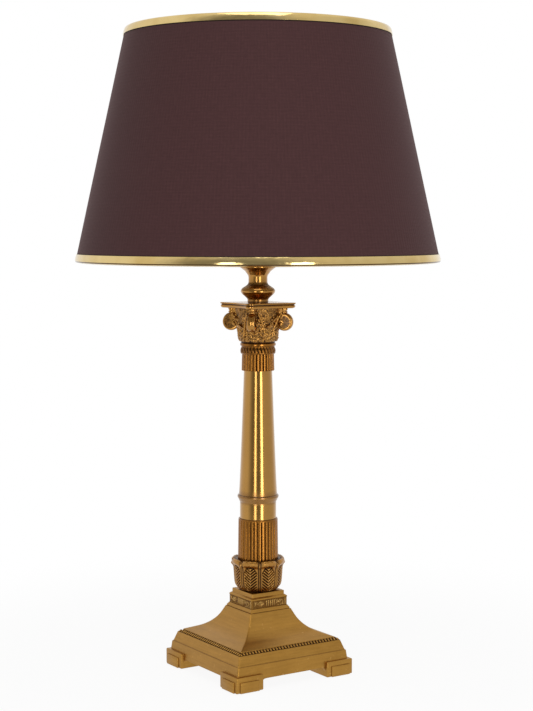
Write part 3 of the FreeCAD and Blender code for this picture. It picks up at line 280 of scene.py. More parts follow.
class Look:
    """Builds the nodes of a material or a world."""

    def __init__(self, owner, coordinates="Object"):
        owner.use_nodes = True
        self.owner = owner
        self.tree = owner.node_tree
        self.place = self.add("TexCoord").outputs[coordinates]

    def feed(self, node, inputs):
        """Sets inputs by name or number, each to a value or to another node's output."""
        for key, value in dict(inputs).items():
            socket = node.inputs[key]
            if isinstance(value, bpy.types.NodeSocket):
                self.tree.links.new(value, socket)
            else:
                socket.default_value = (*value, 1.0) if socket.type == "RGBA" else value
        return node

    def add(self, kind, inputs=(), **properties):
        made = self.tree.nodes.new("ShaderNode" + kind)
        for key, value in properties.items():
            setattr(made, key, value)
        return self.feed(made, inputs)

    def maths(self, operation, *values, clamp=False):
        return self.add("Math", enumerate(values), operation=operation, use_clamp=clamp).outputs[0]

    def mix(self, factor, first, second, blend="MIX"):
        inputs = {0: factor, 6: first, 7: second}
        return self.add("Mix", inputs, data_type="RGBA", blend_type=blend).outputs[2]

    def ramp(self, source, *stops):
        """A colour ramp from (place, colour) stops."""
        made = self.add("ValToRGB", {"Fac": source})
        elements = made.color_ramp.elements
        while len(elements) < len(stops):
            elements.new(0.5)
        for element, (place, colour) in zip(elements, stops):
            element.position = place
            element.color = (*colour, 1.0)
        return made.outputs["Color"]

    def tones(self, source, colour, darker, lighter):
        """A colour that drifts between a darker and a lighter tone of itself."""
        light = tuple(min(1.0, c * lighter) for c in colour)
        return self.ramp(source, (0.3, tuple(c * darker for c in colour)), (0.7, light))

    def noise(self, scale, detail=4.0, roughness=0.55, stretch=None, where=None):
        """Noise in features to the metre; stretch scales X, Y and Z."""
        where = self.place if where is None else where
        if stretch is not None:
            where = self.add("Mapping", {"Vector": where, "Scale": stretch}).outputs["Vector"]
        inputs = {"Vector": where, "Scale": scale, "Detail": detail, "Roughness": roughness}
        return self.add("TexNoise", inputs).outputs["Fac"]

    def bump(self, height, strength, distance, under=None):
        made = self.add("Bump", {"Height": height, "Strength": strength, "Distance": distance})
        if under is not None:
            self.feed(made, {"Normal": under})
        return made.outputs["Normal"]

    def axis(self, vector, name):
        return self.add("SeparateXYZ", {0: vector}).outputs[name]

    def soft_range(self, value, start, end, result_start, result_end):
        inputs = {
            "Value": value, "From Min": start, "From Max": end, "To Min": result_start, "To Max": result_end
        }
        return self.add("MapRange", inputs, interpolation_type="SMOOTHSTEP").outputs["Result"]

    def white_rays(self):
        """One for camera, mirror and see-through rays, nought for the rest."""
        rays = self.add("LightPath").outputs
        seen = self.maths("MAXIMUM", rays["Is Camera Ray"], rays["Is Transmission Ray"])
        return self.maths("MAXIMUM", seen, rays["Is Glossy Ray"])

    def finish(self, inputs):
        """Sets the surface and gives back its material."""
        self.feed(self.tree.nodes["Principled BSDF"], inputs)
        return self.owner


def new_look(name):
    return Look(bpy.data.materials.new(name))


def brass(name, bright, middle, dark, roughness, grain=0.35, cast=0.25, brush=0.0, fleck=0.0, coat=0.0):
    """Brass with cloudy tone, dark patina in the hollows, worn bright edges, fine scratches and cast grain."""
    look = new_look(name)
    cloud = look.noise(38.0, 5.0, 0.6)
    speck = look.noise(420.0, 3.0, 0.65)
    streak = look.noise(520.0, 4.0, 0.65, (0.07, 0.07, 1.0))
    tone = look.maths("MULTIPLY_ADD", cloud, 0.9, -0.18)
    tone = look.ramp(tone, (0.0, middle), (0.55, bright), (1.0, middle))
    if brush:
        across = look.ramp(streak, (0.36, (1 - brush,) * 3), (0.64, (1 + brush,) * 3))
        tone = look.mix(1.0, tone, across, "MULTIPLY")
    if fleck:
        spots = look.ramp(look.noise(260.0, 2.0, 0.5), (0.69, (0, 0, 0)), (0.78, (fleck,) * 3))
        tone = look.mix(spots, tone, tuple(min(1.0, 1.9 * c + 0.08) for c in bright))
    soil = look.add("Attribute", attribute_name="patina").outputs["Fac"]
    soil = look.maths("ADD", soil, look.maths("MULTIPLY", look.maths("SUBTRACT", speck, 0.5), 0.35))
    soil = look.maths("MAXIMUM", soil, 0.0, clamp=True)
    rough = look.maths("MULTIPLY_ADD", cloud, 0.16, roughness - 0.08)
    scratches = streak if brush else look.noise(900.0, 2.0, 0.6, (1.0, 1.0, 0.08))
    fine = look.bump(scratches, grain, 0.00006)
    return look.finish({
        "Base Color": look.mix(soil, tone, dark),
        "Metallic": 1.0,
        "Coat Weight": coat,
        "Coat Roughness": 0.12,
        "Roughness": look.maths("MULTIPLY_ADD", soil, 0.28, rough),
        "Normal": look.bump(look.noise(240.0, 4.0, 0.6), cast, 0.00022, fine),
    })


def plain_metal(name, colour, roughness):
    look = new_look(name)
    grain = 700.0
    return look.finish({
        "Base Color": look.tones(look.noise(grain / 8, 3.0), colour, 0.82, 1.12),
        "Metallic": 1.0,
        "Roughness": look.maths("MULTIPLY_ADD", look.noise(grain, 3.0), 0.2, roughness - 0.1),
        "Normal": look.bump(look.noise(grain, 2.0), 0.2, 0.00005),
    })


def dull(name, colour, roughness, scale=300.0, depth=0.0001, coat=0.0, contrast=0.15):
    """A non-metal with mottled tone and fine surface grain."""
    look = new_look(name)
    cloud = look.noise(scale)
    return look.finish({
        "Base Color": look.tones(cloud, colour, 1 - contrast, 1 + contrast),
        "Roughness": look.maths("MULTIPLY_ADD", cloud, 0.15, roughness - 0.07),
        "Coat Weight": coat,
        "Normal": look.bump(look.noise(scale * 3, 3.0), 0.4, depth),
    })


def shade_cloth():
    """Dark brown linen: two crossing thread directions with slubs, a soft sheen, faint tone changes, and a
    glue line with painted contact shadow beside each gold band.
    """
    look = new_look("shade_cloth")
    cloth = look.add("UVMap", uv_map="weave").outputs["UV"]
    slubs = []
    threads = []
    for direction, stretch in (("X", (7.0, 1.0, 1.0)), ("Y", (1.0, 7.0, 1.0))):
        inputs = {
            "Vector": cloth, "Scale": CLOTH_THREADS / WAVE_SCALE,
            "Distortion": 1.2, "Detail": 2.0, "Detail Scale": 1.5,
        }
        wave = look.add("TexWave", inputs, wave_type="BANDS", bands_direction=direction)
        slub = look.noise(110.0, 4.0, 0.7, stretch, cloth)
        slubs.append(slub)
        threads.append(look.maths("MULTIPLY", wave.outputs["Fac"], slub))
    weave = look.maths("ADD", *threads)
    tone = look.maths("MULTIPLY", look.maths("ADD", *slubs), 0.5)
    tone = look.ramp(tone, (0.30, CLOTH_DARK), (0.70, CLOTH_LIGHT))
    tone = look.mix(look.maths("MULTIPLY", look.noise(7.0, 2.0), 0.35), tone, CLOTH_LIGHT)
    tone = look.mix(look.maths("MULTIPLY", weave, 0.3), tone, CLOTH_DARK)
    up = look.axis(cloth, "Y")
    # A thin dark line on the cloth along each gold band: the glue line with painted contact shadow from the
    # band.
    glue_and_shadow_lines = [
        look.maths("COMPARE", up, place * MM, 0.45 * MM)
        for place in (TRIM_LOW_WIDTH + 0.4, SHADE_SLANT - TRIM_TOP_WIDTH - 0.4)
    ]
    return look.finish({
        "Base Color": look.mix(look.maths("MAXIMUM", *glue_and_shadow_lines), tone, (0.012, 0.006, 0.005)),
        "Roughness": 0.82,
        "Specular IOR Level": 0.2,
        "Sheen Weight": 0.12,
        "Sheen Roughness": 0.45,
        "Sheen Tint": (0.85, 0.62, 0.62),
        "Normal": look.bump(weave, 0.55, 0.00018),
    })


def gold_foil():
    """The glossy gold band: a thin metallised film with faint ripples from its fold, and painted shade where
    it turns under at the foot.
    """
    look = new_look("gold_foil")
    film = look.ramp(look.noise(26.0, 3.0), (0.3, (0.58, 0.41, 0.15)), (0.7, (0.74, 0.57, 0.26)))
    # Painted shade: the foil darkens within 0.6 mm of the shade's foot, on the underside of the lower fold.
    fold = look.maths("COMPARE", look.axis(look.place, "Z"), SHADE_FOOT_Z * MM, 0.6 * MM)
    return look.finish({
        "Base Color": look.mix(fold, film, (0.10, 0.055, 0.020)),
        "Metallic": 1.0,
        "Roughness": look.maths("MULTIPLY_ADD", look.noise(120.0, 3.0), 0.10, 0.08),
        "Normal": look.bump(look.noise(55.0, 2.0, 0.5, (1.0, 1.0, 2.5)), 0.5, 0.0009),
    })


def bulb_opal():
    look = new_look("bulb_opal")
    return look.finish({
        "Base Color": look.ramp(look.noise(60.0, 2.0), (0.3, (0.86, 0.85, 0.82)), (0.7, (0.93, 0.92, 0.90))),
        "Roughness": 0.28,
        "Subsurface Weight": 0.2,
        "Subsurface Radius": (0.01, 0.01, 0.01),
        "Normal": look.bump(look.noise(900.0, 2.0), 0.1, 0.00003),
    })


SHADE_FOOT_RADIUS = 176.0
SHADE_HEAD_RADIUS = 127.0
SHADE_HEIGHT = 221.5
SHADE_FOOT_Z = high("shade_fabric") - SHADE_HEIGHT
SHADE_SLANT = math.hypot(SHADE_FOOT_RADIUS - SHADE_HEAD_RADIUS, SHADE_HEIGHT)
TRIM_LOW_WIDTH = 7.0
TRIM_TOP_WIDTH = 6.6

CLOTH_THREADS = 1900.0  # threads to the metre
WAVE_SCALE = 20.0  # bands to the metre for each unit of a wave texture's scale
CLOTH_DARK = (0.036, 0.0130, 0.0135)
CLOTH_LIGHT = (0.068, 0.0270, 0.0275)

SATIN_BRASS = brass(
    "satin_brass", (0.40, 0.212, 0.046), (0.33, 0.165, 0.032), (0.075, 0.030, 0.010), 0.38,
    brush=0.07, fleck=0.35,
)
ORNAMENT_BRASS = brass(
    "ornament_brass", (0.48, 0.30, 0.10), (0.38, 0.21, 0.055), (0.070, 0.030, 0.010), 0.32, cast=0.5
)
POLISHED_BRASS = brass(
    "polished_brass", (0.43, 0.222, 0.042), (0.37, 0.185, 0.034), (0.12, 0.042, 0.012), 0.16,
    grain=0.04, cast=0.012, coat=0.5,
)
ANTIQUE_BRASS = brass(
    "antique_brass", (0.31, 0.128, 0.019), (0.23, 0.088, 0.012), (0.036, 0.012, 0.003), 0.23,
    grain=0.1, cast=0.20, coat=0.08,
)
CARVED_BRASS = brass(
    "carved_brass", (0.46, 0.230, 0.046), (0.33, 0.150, 0.030), (0.032, 0.011, 0.004), 0.27,
    grain=0.2, cast=0.7, coat=0.2,
)
NECK_BRASS = brass(
    "neck_brass", (0.46, 0.230, 0.045), (0.34, 0.155, 0.030), (0.032, 0.012, 0.004), 0.19,
    grain=0.06, cast=0.06, coat=0.3,
)
HOLDER_BRASS = plain_metal("holder_brass", (0.58, 0.40, 0.15), 0.28)
STEEL = plain_metal("zinc_steel", (0.50, 0.50, 0.52), 0.38)
CAP_METAL = plain_metal("cap_metal", (0.72, 0.72, 0.71), 0.30)
CERAMIC = dull("ceramic", (0.84, 0.83, 0.79), 0.22, coat=0.3, contrast=0.03)
BLACK_GLASS = dull("black_glass", (0.02, 0.02, 0.022), 0.15, coat=0.4)
FELT = dull("green_felt", (0.03, 0.055, 0.035), 0.95, scale=900.0, depth=0.0004, contrast=0.4)
BUSH = dull("bush_plastic", (0.03, 0.027, 0.024), 0.45)
LINER = dull("shade_liner", (0.76, 0.72, 0.64), 0.6, scale=120.0, depth=0.00005, contrast=0.04)
WIRE = dull("painted_wire", (0.70, 0.70, 0.67), 0.4, contrast=0.06)
CLOTH = shade_cloth()
GOLD = gold_foil()
OPAL = bulb_opal()


def dress(piece, material, body, slot, *nodes):
    """Gives a piece its material, the body it rides and the CAD nodes it stands for; its slot is not used."""
    piece.data.materials.append(material)
    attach(piece, body)
    if nodes:
        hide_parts(*nodes)
    return piece


def redress(name, material):
    """Gives a CAD node that stays in view its material."""
    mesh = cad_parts[name].data
    mesh.materials.clear()
    mesh.materials.append(material)
    smooth(mesh, SHARP_ANGLE)


# ---- base ----

PANEL_PROUD = 1.4
FOOT_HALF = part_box("base_casting")[1].x / MM - PANEL_PROUD
FOOT_SIDE = 30.0
FOOT_INNER = FOOT_HALF - FOOT_SIDE
FOOT_TOP = 15.9
PLINTH_EDGE = 10.5
BASE_LOW, BASE_TOP = ends("base_casting")
COURSE_FLOOR = 34.2
COURSE_OUTER = 57.9
COURSE_INNER = 54.3
TEETH_PER_SIDE = 34


def base_shell():
    outline = rounded([
        (64.0, PLINTH_EDGE, 0.6), (62.4, 23.9, 0.9), (61.6, 24.4, 0.3), (61.2, 25.2, 0.5),
        (COURSE_OUTER + 0.3, COURSE_FLOOR - 0.3, 0.35), (COURSE_OUTER - 0.2, COURSE_FLOOR - 0.6, 0.15),
        (COURSE_INNER - 0.1, COURSE_FLOOR + 1.0, 0.15), (COURSE_INNER - 0.1, COURSE_FLOOR + 2.3, 0.4),
        (31.7, 45.1, 32.0), (23.5, BASE_TOP, 0.3), (BORE, BASE_TOP), (BORE, BASE_TOP - 5.0),
        (22.0, BASE_TOP - 5.0), (29.5, 41.5, 28.0), (53.9, 31.5), (58.4, 23.0), (60.0, PLINTH_EDGE),
    ], steps=8)

    def soil(half, z):
        if COURSE_INNER - 0.15 < half < COURSE_OUTER and 30 < z < COURSE_FLOOR + 1.4:
            return 1.0
        if 61.0 < half < 62.2 and 23.9 < z < 25.0:
            return 0.4
        return 0.35 if z < PLINTH_EDGE + 0.2 else 0.0

    return square_lathe("base_shell", outline, 0.9, soil)


def base_feet():
    """Four square feet, each with a raised panel on both its outer sides."""
    work = bmesh.new()
    foot = (FOOT_INNER, FOOT_HALF)
    panel = (FOOT_INNER + 5.0, FOOT_HALF - 3.6)
    proud = (FOOT_HALF - 1.0, FOOT_HALF + PANEL_PROUD)
    panel_top = FOOT_TOP - 4.6
    boxes = ((foot, foot, FOOT_TOP, 0.9), (proud, panel, panel_top, 0.6), (panel, proud, panel_top, 0.6))
    for mirror in ((-1, -1, 1), (-1, 1, 1), (1, -1, 1), (1, 1, 1)):
        for (x0, x1), (y0, y1), top, bevel in boxes:
            lowest, highest = Vector((x0, y0, BASE_LOW)), Vector((x1, y1, top))
            verts = bmesh.ops.create_cube(work, size=1.0)["verts"]
            for v in verts:
                v.co = v.co * (highest - lowest) + (highest + lowest) / 2 * Vector(mirror)
            edges = list({edge for v in verts for edge in v.link_edges})
            bmesh.ops.bevel(
                work, geom=edges, offset=bevel, segments=3, profile=0.5, affect="EDGES", clamp_overlap=True
            )
    for v in work.verts:
        v.co *= MM
    return finish_piece("base_feet", bpy.data.meshes.new("base_feet"), work, SHARP_ANGLE)


def base_brackets():
    """The curved webs where the plinth's lower edge runs down into each foot."""
    radius = 4.0
    outline = [(0.2, 0.3), (0.2, -radius)]
    for step in range(9):
        a = QUARTER * step / 8
        outline.append((-radius + radius * math.cos(a), -radius + radius * math.sin(a)))
    outline.append((-radius, 0.3))
    parts = []
    for hand in (-1, 1):
        verts = [(x, hand * (FOOT_INNER + run), PLINTH_EDGE + z) for x in (59.9, 63.9) for run, z in outline]
        parts.append((verts, capped(2, len(outline))))
    return make_object("base_brackets", *spun(parts))


def tooth_course():
    """Rounded teeth side by side up the slope between the plinth and the sweep, on all four sides."""
    foot = Vector((COURSE_OUTER, COURSE_FLOOR - 0.4))
    head = Vector((COURSE_INNER - 0.1, COURSE_FLOOR + 1.7))
    proud = Vector((head.y - foot.y, foot.x - head.x)).normalized()
    half_run = COURSE_OUTER - 0.8
    pitch = 2 * half_run / TEETH_PER_SIDE
    rings, spokes = 6, 10
    parts = []
    dirt = []
    for k in range(TEETH_PER_SIDE):
        along = -half_run + pitch * (k + 0.5)
        reach_in = min(1.0, (foot.x - abs(along)) / (foot.x - head.x))
        verts = []
        for i in range(rings):
            t = i / (rings - 1)
            size = math.sqrt(max(0.0, 1 - 0.8 * (2 * t - 1) ** 2))
            middle = foot.lerp(head, t * reach_in)
            for c, s in circle(spokes):
                lift = middle + proud * (0.75 * size * s)
                verts.append((lift.x, along + pitch * 0.31 * size * c, lift.y))
                dirt.append(0.0 if s > 0.5 and 0 < i < rings - 1 else 0.9)
        parts.append((verts, capped(rings, spokes)))
    return make_object("tooth_course", *spun(parts), dirt * 4, sharp=math.radians(60))


dress(base_shell(), SATIN_BRASS, "lamp", "brass_satin", "base_casting")
dress(base_feet(), SATIN_BRASS, "lamp", "brass_satin")
dress(base_brackets(), SATIN_BRASS, "lamp", "brass_satin")
dress(tooth_course(), SATIN_BRASS, "lamp", "brass_satin")


# ---- pedestal ----

PED_LOW, PED_TOP = ends("pedestal_block")
PANEL_HALF = 21.0


def pedestal():
    panel_low = PED_LOW + 3.4
    lip = PED_TOP - 4.0
    outline = rounded([
        (BORE, PED_LOW), (22.6, PED_LOW, 0.3), (22.5, PED_LOW + 1.5, 0.5), (21.4, PED_LOW + 2.7, 0.6),
        (PANEL_HALF + 0.2, panel_low, 0.3), (PANEL_HALF - 0.5, panel_low + 0.3, 0.2),
        (PANEL_HALF - 0.5, lip - 2.4, 0.2), (PANEL_HALF, lip - 2.1, 0.3), (PANEL_HALF - 0.5, lip - 1.0, 1.2),
        (18.9, lip + 0.1, 0.8), (18.5, lip + 0.3, 0.3), (18.5, PED_TOP, 0.5), (BORE, PED_TOP),
    ], steps=4)

    def soil(half, z):
        if panel_low + 0.1 < z < lip - 2.2 and PANEL_HALF - 0.1 > half > 20:
            return 0.66
        return 0.5 if z < PED_LOW + 0.3 and half > 20 else 0.0

    return square_lathe("pedestal_body", outline, 0.5, soil)


def pedestal_ornament():
    """Upright rods in the middle of each panel, a fan of leaves on one hand and a scroll on the other."""
    parts = []
    floor = PED_LOW + 4.3
    roof = PED_TOP - 6.8
    tall = roof - floor
    face = PANEL_HALF - 0.45
    out = Vector((1, 0, 0))

    def tube(points, radii):
        points = [Vector((face, u, z)) for u, z in points]
        path = [
            (Vector((face, point.y, min(max(point.z, floor), roof))), out.cross(run), out)
            for point, run in zip(points, runs(points))
        ]
        parts.append(swept(path, lambda i: [(radii[i] * c, 1.15 * radii[i] * s) for c, s in circle(6)]))

    def stroke(start, end, size, bend=0.0):
        """A leaf-shaped stroke, thickest past its middle, that bends to one side."""
        du, dz = end[0] - start[0], end[1] - start[1]
        points = []
        for t in (0, 0.25, 0.5, 0.75, 0.92, 1):
            sway = bend * math.sin(math.pi * t)
            points.append((start[0] + du * t + dz * sway, start[1] + dz * t - du * sway))
        tube(points, [size * w for w in (0.35, 0.7, 0.95, 1.0, 0.7, 0.25)])

    for k in range(5):
        u = (k - 2) * 2.15 + 0.8
        tube([(u, floor + tall * t) for t in (0, 0.1, 0.5, 0.9, 1)], [0.3, 0.6, 0.68, 0.68, 0.3])
    fan_u = -10.6
    for k in range(7):
        lean = (k - 3) / 3
        end = (fan_u + 4.6 * math.sin(lean * 1.15), floor + tall * (0.42 + 0.56 * math.cos(lean * 1.1)))
        stroke((fan_u + 0.9 * lean, floor + tall * 0.22), end, 0.52, 0.10 * lean)
    for k in range(9):
        u = -16.4 + 1.55 * k
        tube([(u - 0.35, floor + 0.5), (u, floor + 0.55), (u + 0.35, floor + 0.5)], [0.3, 0.6, 0.3])
    stroke((-17.2, floor + 1.5), (-17.4, roof), 0.75, 0.12)
    stroke((-15.4, floor + 2.4), (-15.0, roof - 0.6), 0.5, -0.18)
    scroll = []
    for step in range(20):
        a = math.pi * 0.9 - step / 19 * TURN * 1.1
        size = 3.3 * (1 - 0.72 * step / 19)
        scroll.append((13.2 + size * math.cos(a), floor + tall * 0.42 + 0.85 * size * math.sin(a)))
    tube(scroll, [0.52 - 0.012 * step for step in range(20)])
    for k in range(4):
        start = (7.4 + 0.7 * k, floor + tall * (0.30 + 0.05 * k))
        stroke(start, (6.9 + 2.4 * k, roof - 0.5 * k), 0.5, 0.14)
    for k in range(3):
        stroke((9.2 + 2.6 * k, floor + 0.9), (11.4 + 2.6 * k, floor + 0.4 + 0.5 * k), 0.5, 0.2)
    for u in (18.0, 19.3):
        tube([(u, floor + tall * t) for t in (0, 0.5, 1)], [0.35, 0.4, 0.35])
    return make_object("pedestal_ornament", *spun(parts), sharp=math.radians(70))


dress(pedestal(), SATIN_BRASS, "lamp", "brass_satin", "pedestal_block")
dress(pedestal_ornament(), ORNAMENT_BRASS, "lamp", "brass_satin")


# ---- leaf cup ----

CUP_LOW = low("leaf_cup")
CUP_TOP = CUP_LOW + 32.0
CUP_LEAVES = 8
CUP_FIRST_LEAF = math.radians(38.2)
CUP_LEAF_SHARE = 0.72
CUP_GAP_DEPTH = 2.8
CUP_ROWS = 84
SOCKET = 20.2


def cup_body_radius(z):
    """The cup's outline without its curled tips."""
    heights = np.array([0.0, 1.2, 2.6, 4.2, 6.2, 8.5, 11.5, 15.0, 19.0, 23.0, 27.0, 32.0]) + CUP_LOW
    radii = np.array([16.8, 18.6, 20.2, 21.4, 22.3, 22.8, 23.1, 23.3, 23.6, 23.9, 24.3, 24.6])
    return np.interp(z, heights, radii)


def leaf_cup():
    """Upright leaves side by side, with curled tips, oblique veins and a stem between each two."""
    columns = CUP_LEAVES * 48
    across = np.abs(phase(around(columns) - CUP_FIRST_LEAF, CUP_LEAVES, 0.5)) * 2
    arch = 1 - np.sqrt(np.clip(1 - across ** 2.4, 0, 1))
    scallop = 0.5 * np.abs(np.sin(across * math.pi * 2.5))
    tip_z = CUP_TOP - CUP_GAP_DEPTH * arch - scallop * (1 - across)
    inner = across / CUP_LEAF_SHARE
    on_leaf = inner < 1
    arch_top = 6.3 + 5.2 * np.clip(inner, 0, 1) ** 2.6
    stem_place = (1 - across) / (1 - CUP_LEAF_SHARE)
    rows = []
    for i in range(CUP_ROWS):
        z = CUP_LOW + i / (CUP_ROWS - 1) * (tip_z - CUP_LOW)
        up = z - CUP_LOW
        below_tip = tip_z - z
        below_arch = below_tip - arch_top
        curl = 1.9 * smoothstep(7.5, 3.2, below_tip) * (1 - 0.55 * across ** 4)
        curl -= 1.6 * smoothstep(1.6, 0.0, below_tip)
        leaf_zone = smoothstep(0.3, 2.0, up) * smoothstep(-0.7, 0.5, below_arch) * smoothstep(1.0, 0.93, inner)
        bar = smoothstep(0.28, 0.62, np.abs(np.mod(up * 0.345 - across * 2.6, 1.0) - 0.5) * 2)
        vein = (1.05 * bar - 0.85) * leaf_zone * smoothstep(0.06, 0.14, inner)
        midrib = 0.30 * hump(inner, 0.06) * leaf_zone
        rim = 0.45 * hump(inner, 0.07, 0.98) * smoothstep(-3.0, 1.0, below_arch)
        stem = 0.55 * hump(stem_place, 0.16) - 0.45 * hump(stem_place, 0.16, 0.42)
        stem = stem * smoothstep(0, 4, up) * (inner > 1)
        drop = hump(stem_place, 0.30) * hump(below_tip, 1.6, 3.0)
        hollow = -0.9 * hump(below_arch, 0.8) * on_leaf
        radius = cup_body_radius(z) + curl + vein + midrib + rim + stem + drop + hollow
        soil = np.where(on_leaf, (1.0 - bar) * leaf_zone, 0.28 + 0.7 * hump(stem_place, 0.2, 0.42))
        soil = soil + 0.8 * hump(below_arch, 0.9) * on_leaf
        soil = np.where((leaf_zone < 0.5) & on_leaf & (below_arch < -1), 0.05, soil)
        soil += 0.8 * smoothstep(1.8, 0.0, up) - 0.6 * drop
        rows.append((radius, z, np.clip(soil, -0.3, 1)))
    tip_radius = cup_body_radius(tip_z) + 0.3
    wall = SOCKET + 1.6
    for k in range(1, 7):
        t = k / 6
        z = tip_z + 0.5 * math.sin(t * math.pi) + (np.minimum(tip_z, CUP_TOP - 1.5) - tip_z) * t
        rows.append((tip_radius + (wall - tip_radius) * t, z, 0.3 + 0.5 * t))
    rows += [
        (wall, CUP_TOP - 1.0, 0.8), (SOCKET + 0.02, CUP_TOP - 1.2, 0.8), (SOCKET + 0.02, CUP_LOW + 25.0, 0.8),
        (BORE, CUP_LOW + 25.0, 0.8), (BORE, CUP_LOW, 0.5),
    ]
    return turned("leaf_cup_body", rows, columns)


dress(leaf_cup(), CARVED_BRASS, "lamp", "brass_antique", "leaf_cup")


# ---- drum, band, shaft, collar ----

COLUMNS_PER_FLUTE = 14
BAND_RADIUS = 17.8


def reeds(count, bow, groove, wide):
    """How far a reeded surface lies inside its crest: gently bowed bands with a narrow groove between them."""
    x = np.abs(phase(around(count * COLUMNS_PER_FLUTE), count)) * 2
    cut = smoothstep(1 - wide, 1.0, x)
    return bow * x ** 2 + groove * cut, cut


def fluted_drum():
    flutes = 32
    lowest, top = ends("fluted_drum")
    dip, cut = reeds(flutes, 0.24, 0.85, 0.42)
    rows = []
    for z in (
        lowest, lowest + 8.5, lowest + 20, top - 12, top - 2.2, top - 1.7, top - 1.2, top - 0.5, top - 0.1, top
    ):
        crest = 19.9 - 0.6 * (z - lowest) / (top - lowest) - 0.5 * max(0.0, (z - top + 0.6) / 0.6)
        plain = min(1.0, max(0.0, (z - top + 2.2) / 0.8))
        rows.append((crest - dip * (1 - plain), z, 0.15 if z > top - 2.0 else 0.95 * cut - 0.05))
    rows += [(BAND_RADIUS, top, 0.4), (BORE, top, 0.4), (BORE, lowest, 0.4)]
    return turned("fluted_drum_body", rows, flutes * COLUMNS_PER_FLUTE)


def shaft_band():
    z0, z1 = low("shaft_band"), low("column_shaft")
    ring = z1 - 7.0
    outline = rounded([
        (BORE, z0), (BAND_RADIUS, z0, 0.2), (BAND_RADIUS, z0 + 0.7), (BAND_RADIUS, z0 + 1.4),
        (BAND_RADIUS, ring - 2.6), (BAND_RADIUS, ring, 1.2), (18.9, ring + 2.0, 0.6), (19.1, ring + 2.6, 0.3),
        (20.2, z1 - 2.4, 1.4), (20.2, z1 - 0.9, 0.7), (19.4, z1 - 0.1, 0.3), (18.9, z1 - 0.4, 0.2),
        (16.0, z1 - 0.4), (BORE, z1 - 0.4),
    ], steps=5)

    def soil(radius, z):
        if z < z0 + 0.5 and radius > 17:
            return 0.8
        return 0.0 if z < ring - 1.3 else 0.42 if z < ring + 5.4 else 0.6

    return lathe("shaft_band_body", outline, soil=soil)


def column_shaft():
    """The tapered shaft, a little hollow in its outline, with a small flare at its foot."""
    z0, z1 = ends("column_shaft")
    foot, head = 18.55, 13.65
    steps = 24
    rows = []
    for k in range(steps + 1):
        t = k / steps
        radius = foot + (head - foot) * t - 0.15 * math.sin(math.pi * t) + 0.25 * math.exp(-14 * t)
        rows.append((radius, z0 + (z1 - z0) * t, 0.5 * math.exp(-(z1 - z0) * t / 0.8)))
    rows += [(radius - 1.6, z, 0.4) for radius, z, soil in reversed(rows)]
    return turned("column_shaft_body", rows, ROUND_COLUMNS)


def fluted_collar():
    flutes = 28
    lowest, top = low("column_shaft") + 122.0, low("bead_ring")
    dip, cut = reeds(flutes, 0.55, 0.85, 0.4)
    rows = []
    for z in (lowest, lowest + 0.3, lowest + 1.0, lowest + 8, top - 1.5, top):
        crest = 16.0 - 0.4 * (z - lowest) / (top - lowest) - 0.3 * (z == lowest)
        rows.append((crest - dip, z, cut - 0.05))
    rows += [(BORE, top, 0.5), (BORE, lowest + 4, 0.5), (14.3, lowest + 4, 0.5), (14.3, lowest, 0.5)]
    return turned("fluted_collar_body", rows, flutes * COLUMNS_PER_FLUTE)


def bead_ring():
    """Slanting beads side by side round a soft roll."""
    beads = 30
    columns = beads * 14
    lowest, top = ends("bead_ring")
    rows = []
    for i in range(22):
        t = i / 21
        core = 16.1 + 0.9 * math.sin(math.pi * min(1.0, t * 1.25)) ** 0.7 + 0.45 * hump(t, 0.09, 0.10)
        zone = smoothstep(0.16, 0.26, t) * smoothstep(0.98, 0.88, t)
        x = phase(around(columns), beads, 0.55 * t)
        bead = np.sqrt(np.clip(1 - (x / 0.44) ** 2, 0, 1))
        soil = np.clip((1 - bead) * 1.3 * zone + 0.2, 0, 1)
        rows.append((core + (0.95 * bead - 0.75) * zone, lowest + (top - lowest) * t, soil))
    rows += [(BORE, top, 0.5), (BORE, lowest, 0.5)]
    return turned("bead_ring_body", rows, columns)


def astragal():
    lowest, top = ends("astragal")
    outline = rounded([
        (BORE, lowest), (16.0, lowest, 0.2), (17.4, lowest + 0.5, 0.8), (17.4, top - 1.2, 1.3),
        (16.1, top - 0.7, 0.4), (16.1, top), (BORE, top),
    ], steps=5)
    return lathe(
        "astragal_body", outline, soil=lambda radius, z: 0.05 if lowest + 0.2 <= z <= top - 0.9 else 0.9
    )


dress(fluted_drum(), ANTIQUE_BRASS, "lamp", "brass_antique", "fluted_drum")
dress(shaft_band(), POLISHED_BRASS, "lamp", "brass_polished", "shaft_band")
dress(column_shaft(), POLISHED_BRASS, "lamp", "brass_polished", "column_shaft")
dress(fluted_collar(), ANTIQUE_BRASS, "lamp", "brass_antique", "fluted_collar")
dress(bead_ring(), ANTIQUE_BRASS, "lamp", "brass_antique", "bead_ring")
dress(astragal(), ANTIQUE_BRASS, "lamp", "brass_antique", "astragal")


# ---- capital ----

BELL_LOW = low("capital")
BELL_TOP = low("abacus")
BELL_ROWS = 96
BELL_LEAVES = 8
VOLUTE_REACH = 26.0
VOLUTE_Z = BELL_LOW + 19.3
VOLUTE_RADIUS = 8.6
VOLUTE_WIDTH = 7.6
VOLUTE_BAND = 2.3
EYE_X = -2.7
EYE_Z = -1.5


def bell_radius(z):
    share = (z - BELL_LOW) / (BELL_TOP - BELL_LOW)
    return 18.1 + 4.3 * np.clip(share, 0, 1) ** 1.4


def grained(rows, columns, seed):
    """A grid of even random grain from -1 to 1 that joins up round its columns."""
    values = np.random.default_rng(seed).uniform(-1, 1, (rows, columns))
    for _ in range(2):
        values = values + np.roll(values, 1, 1) + np.roll(values, -1, 1)
        values = values + np.roll(values, 1, 0) + np.roll(values, -1, 0)
    return values / np.abs(values).max()


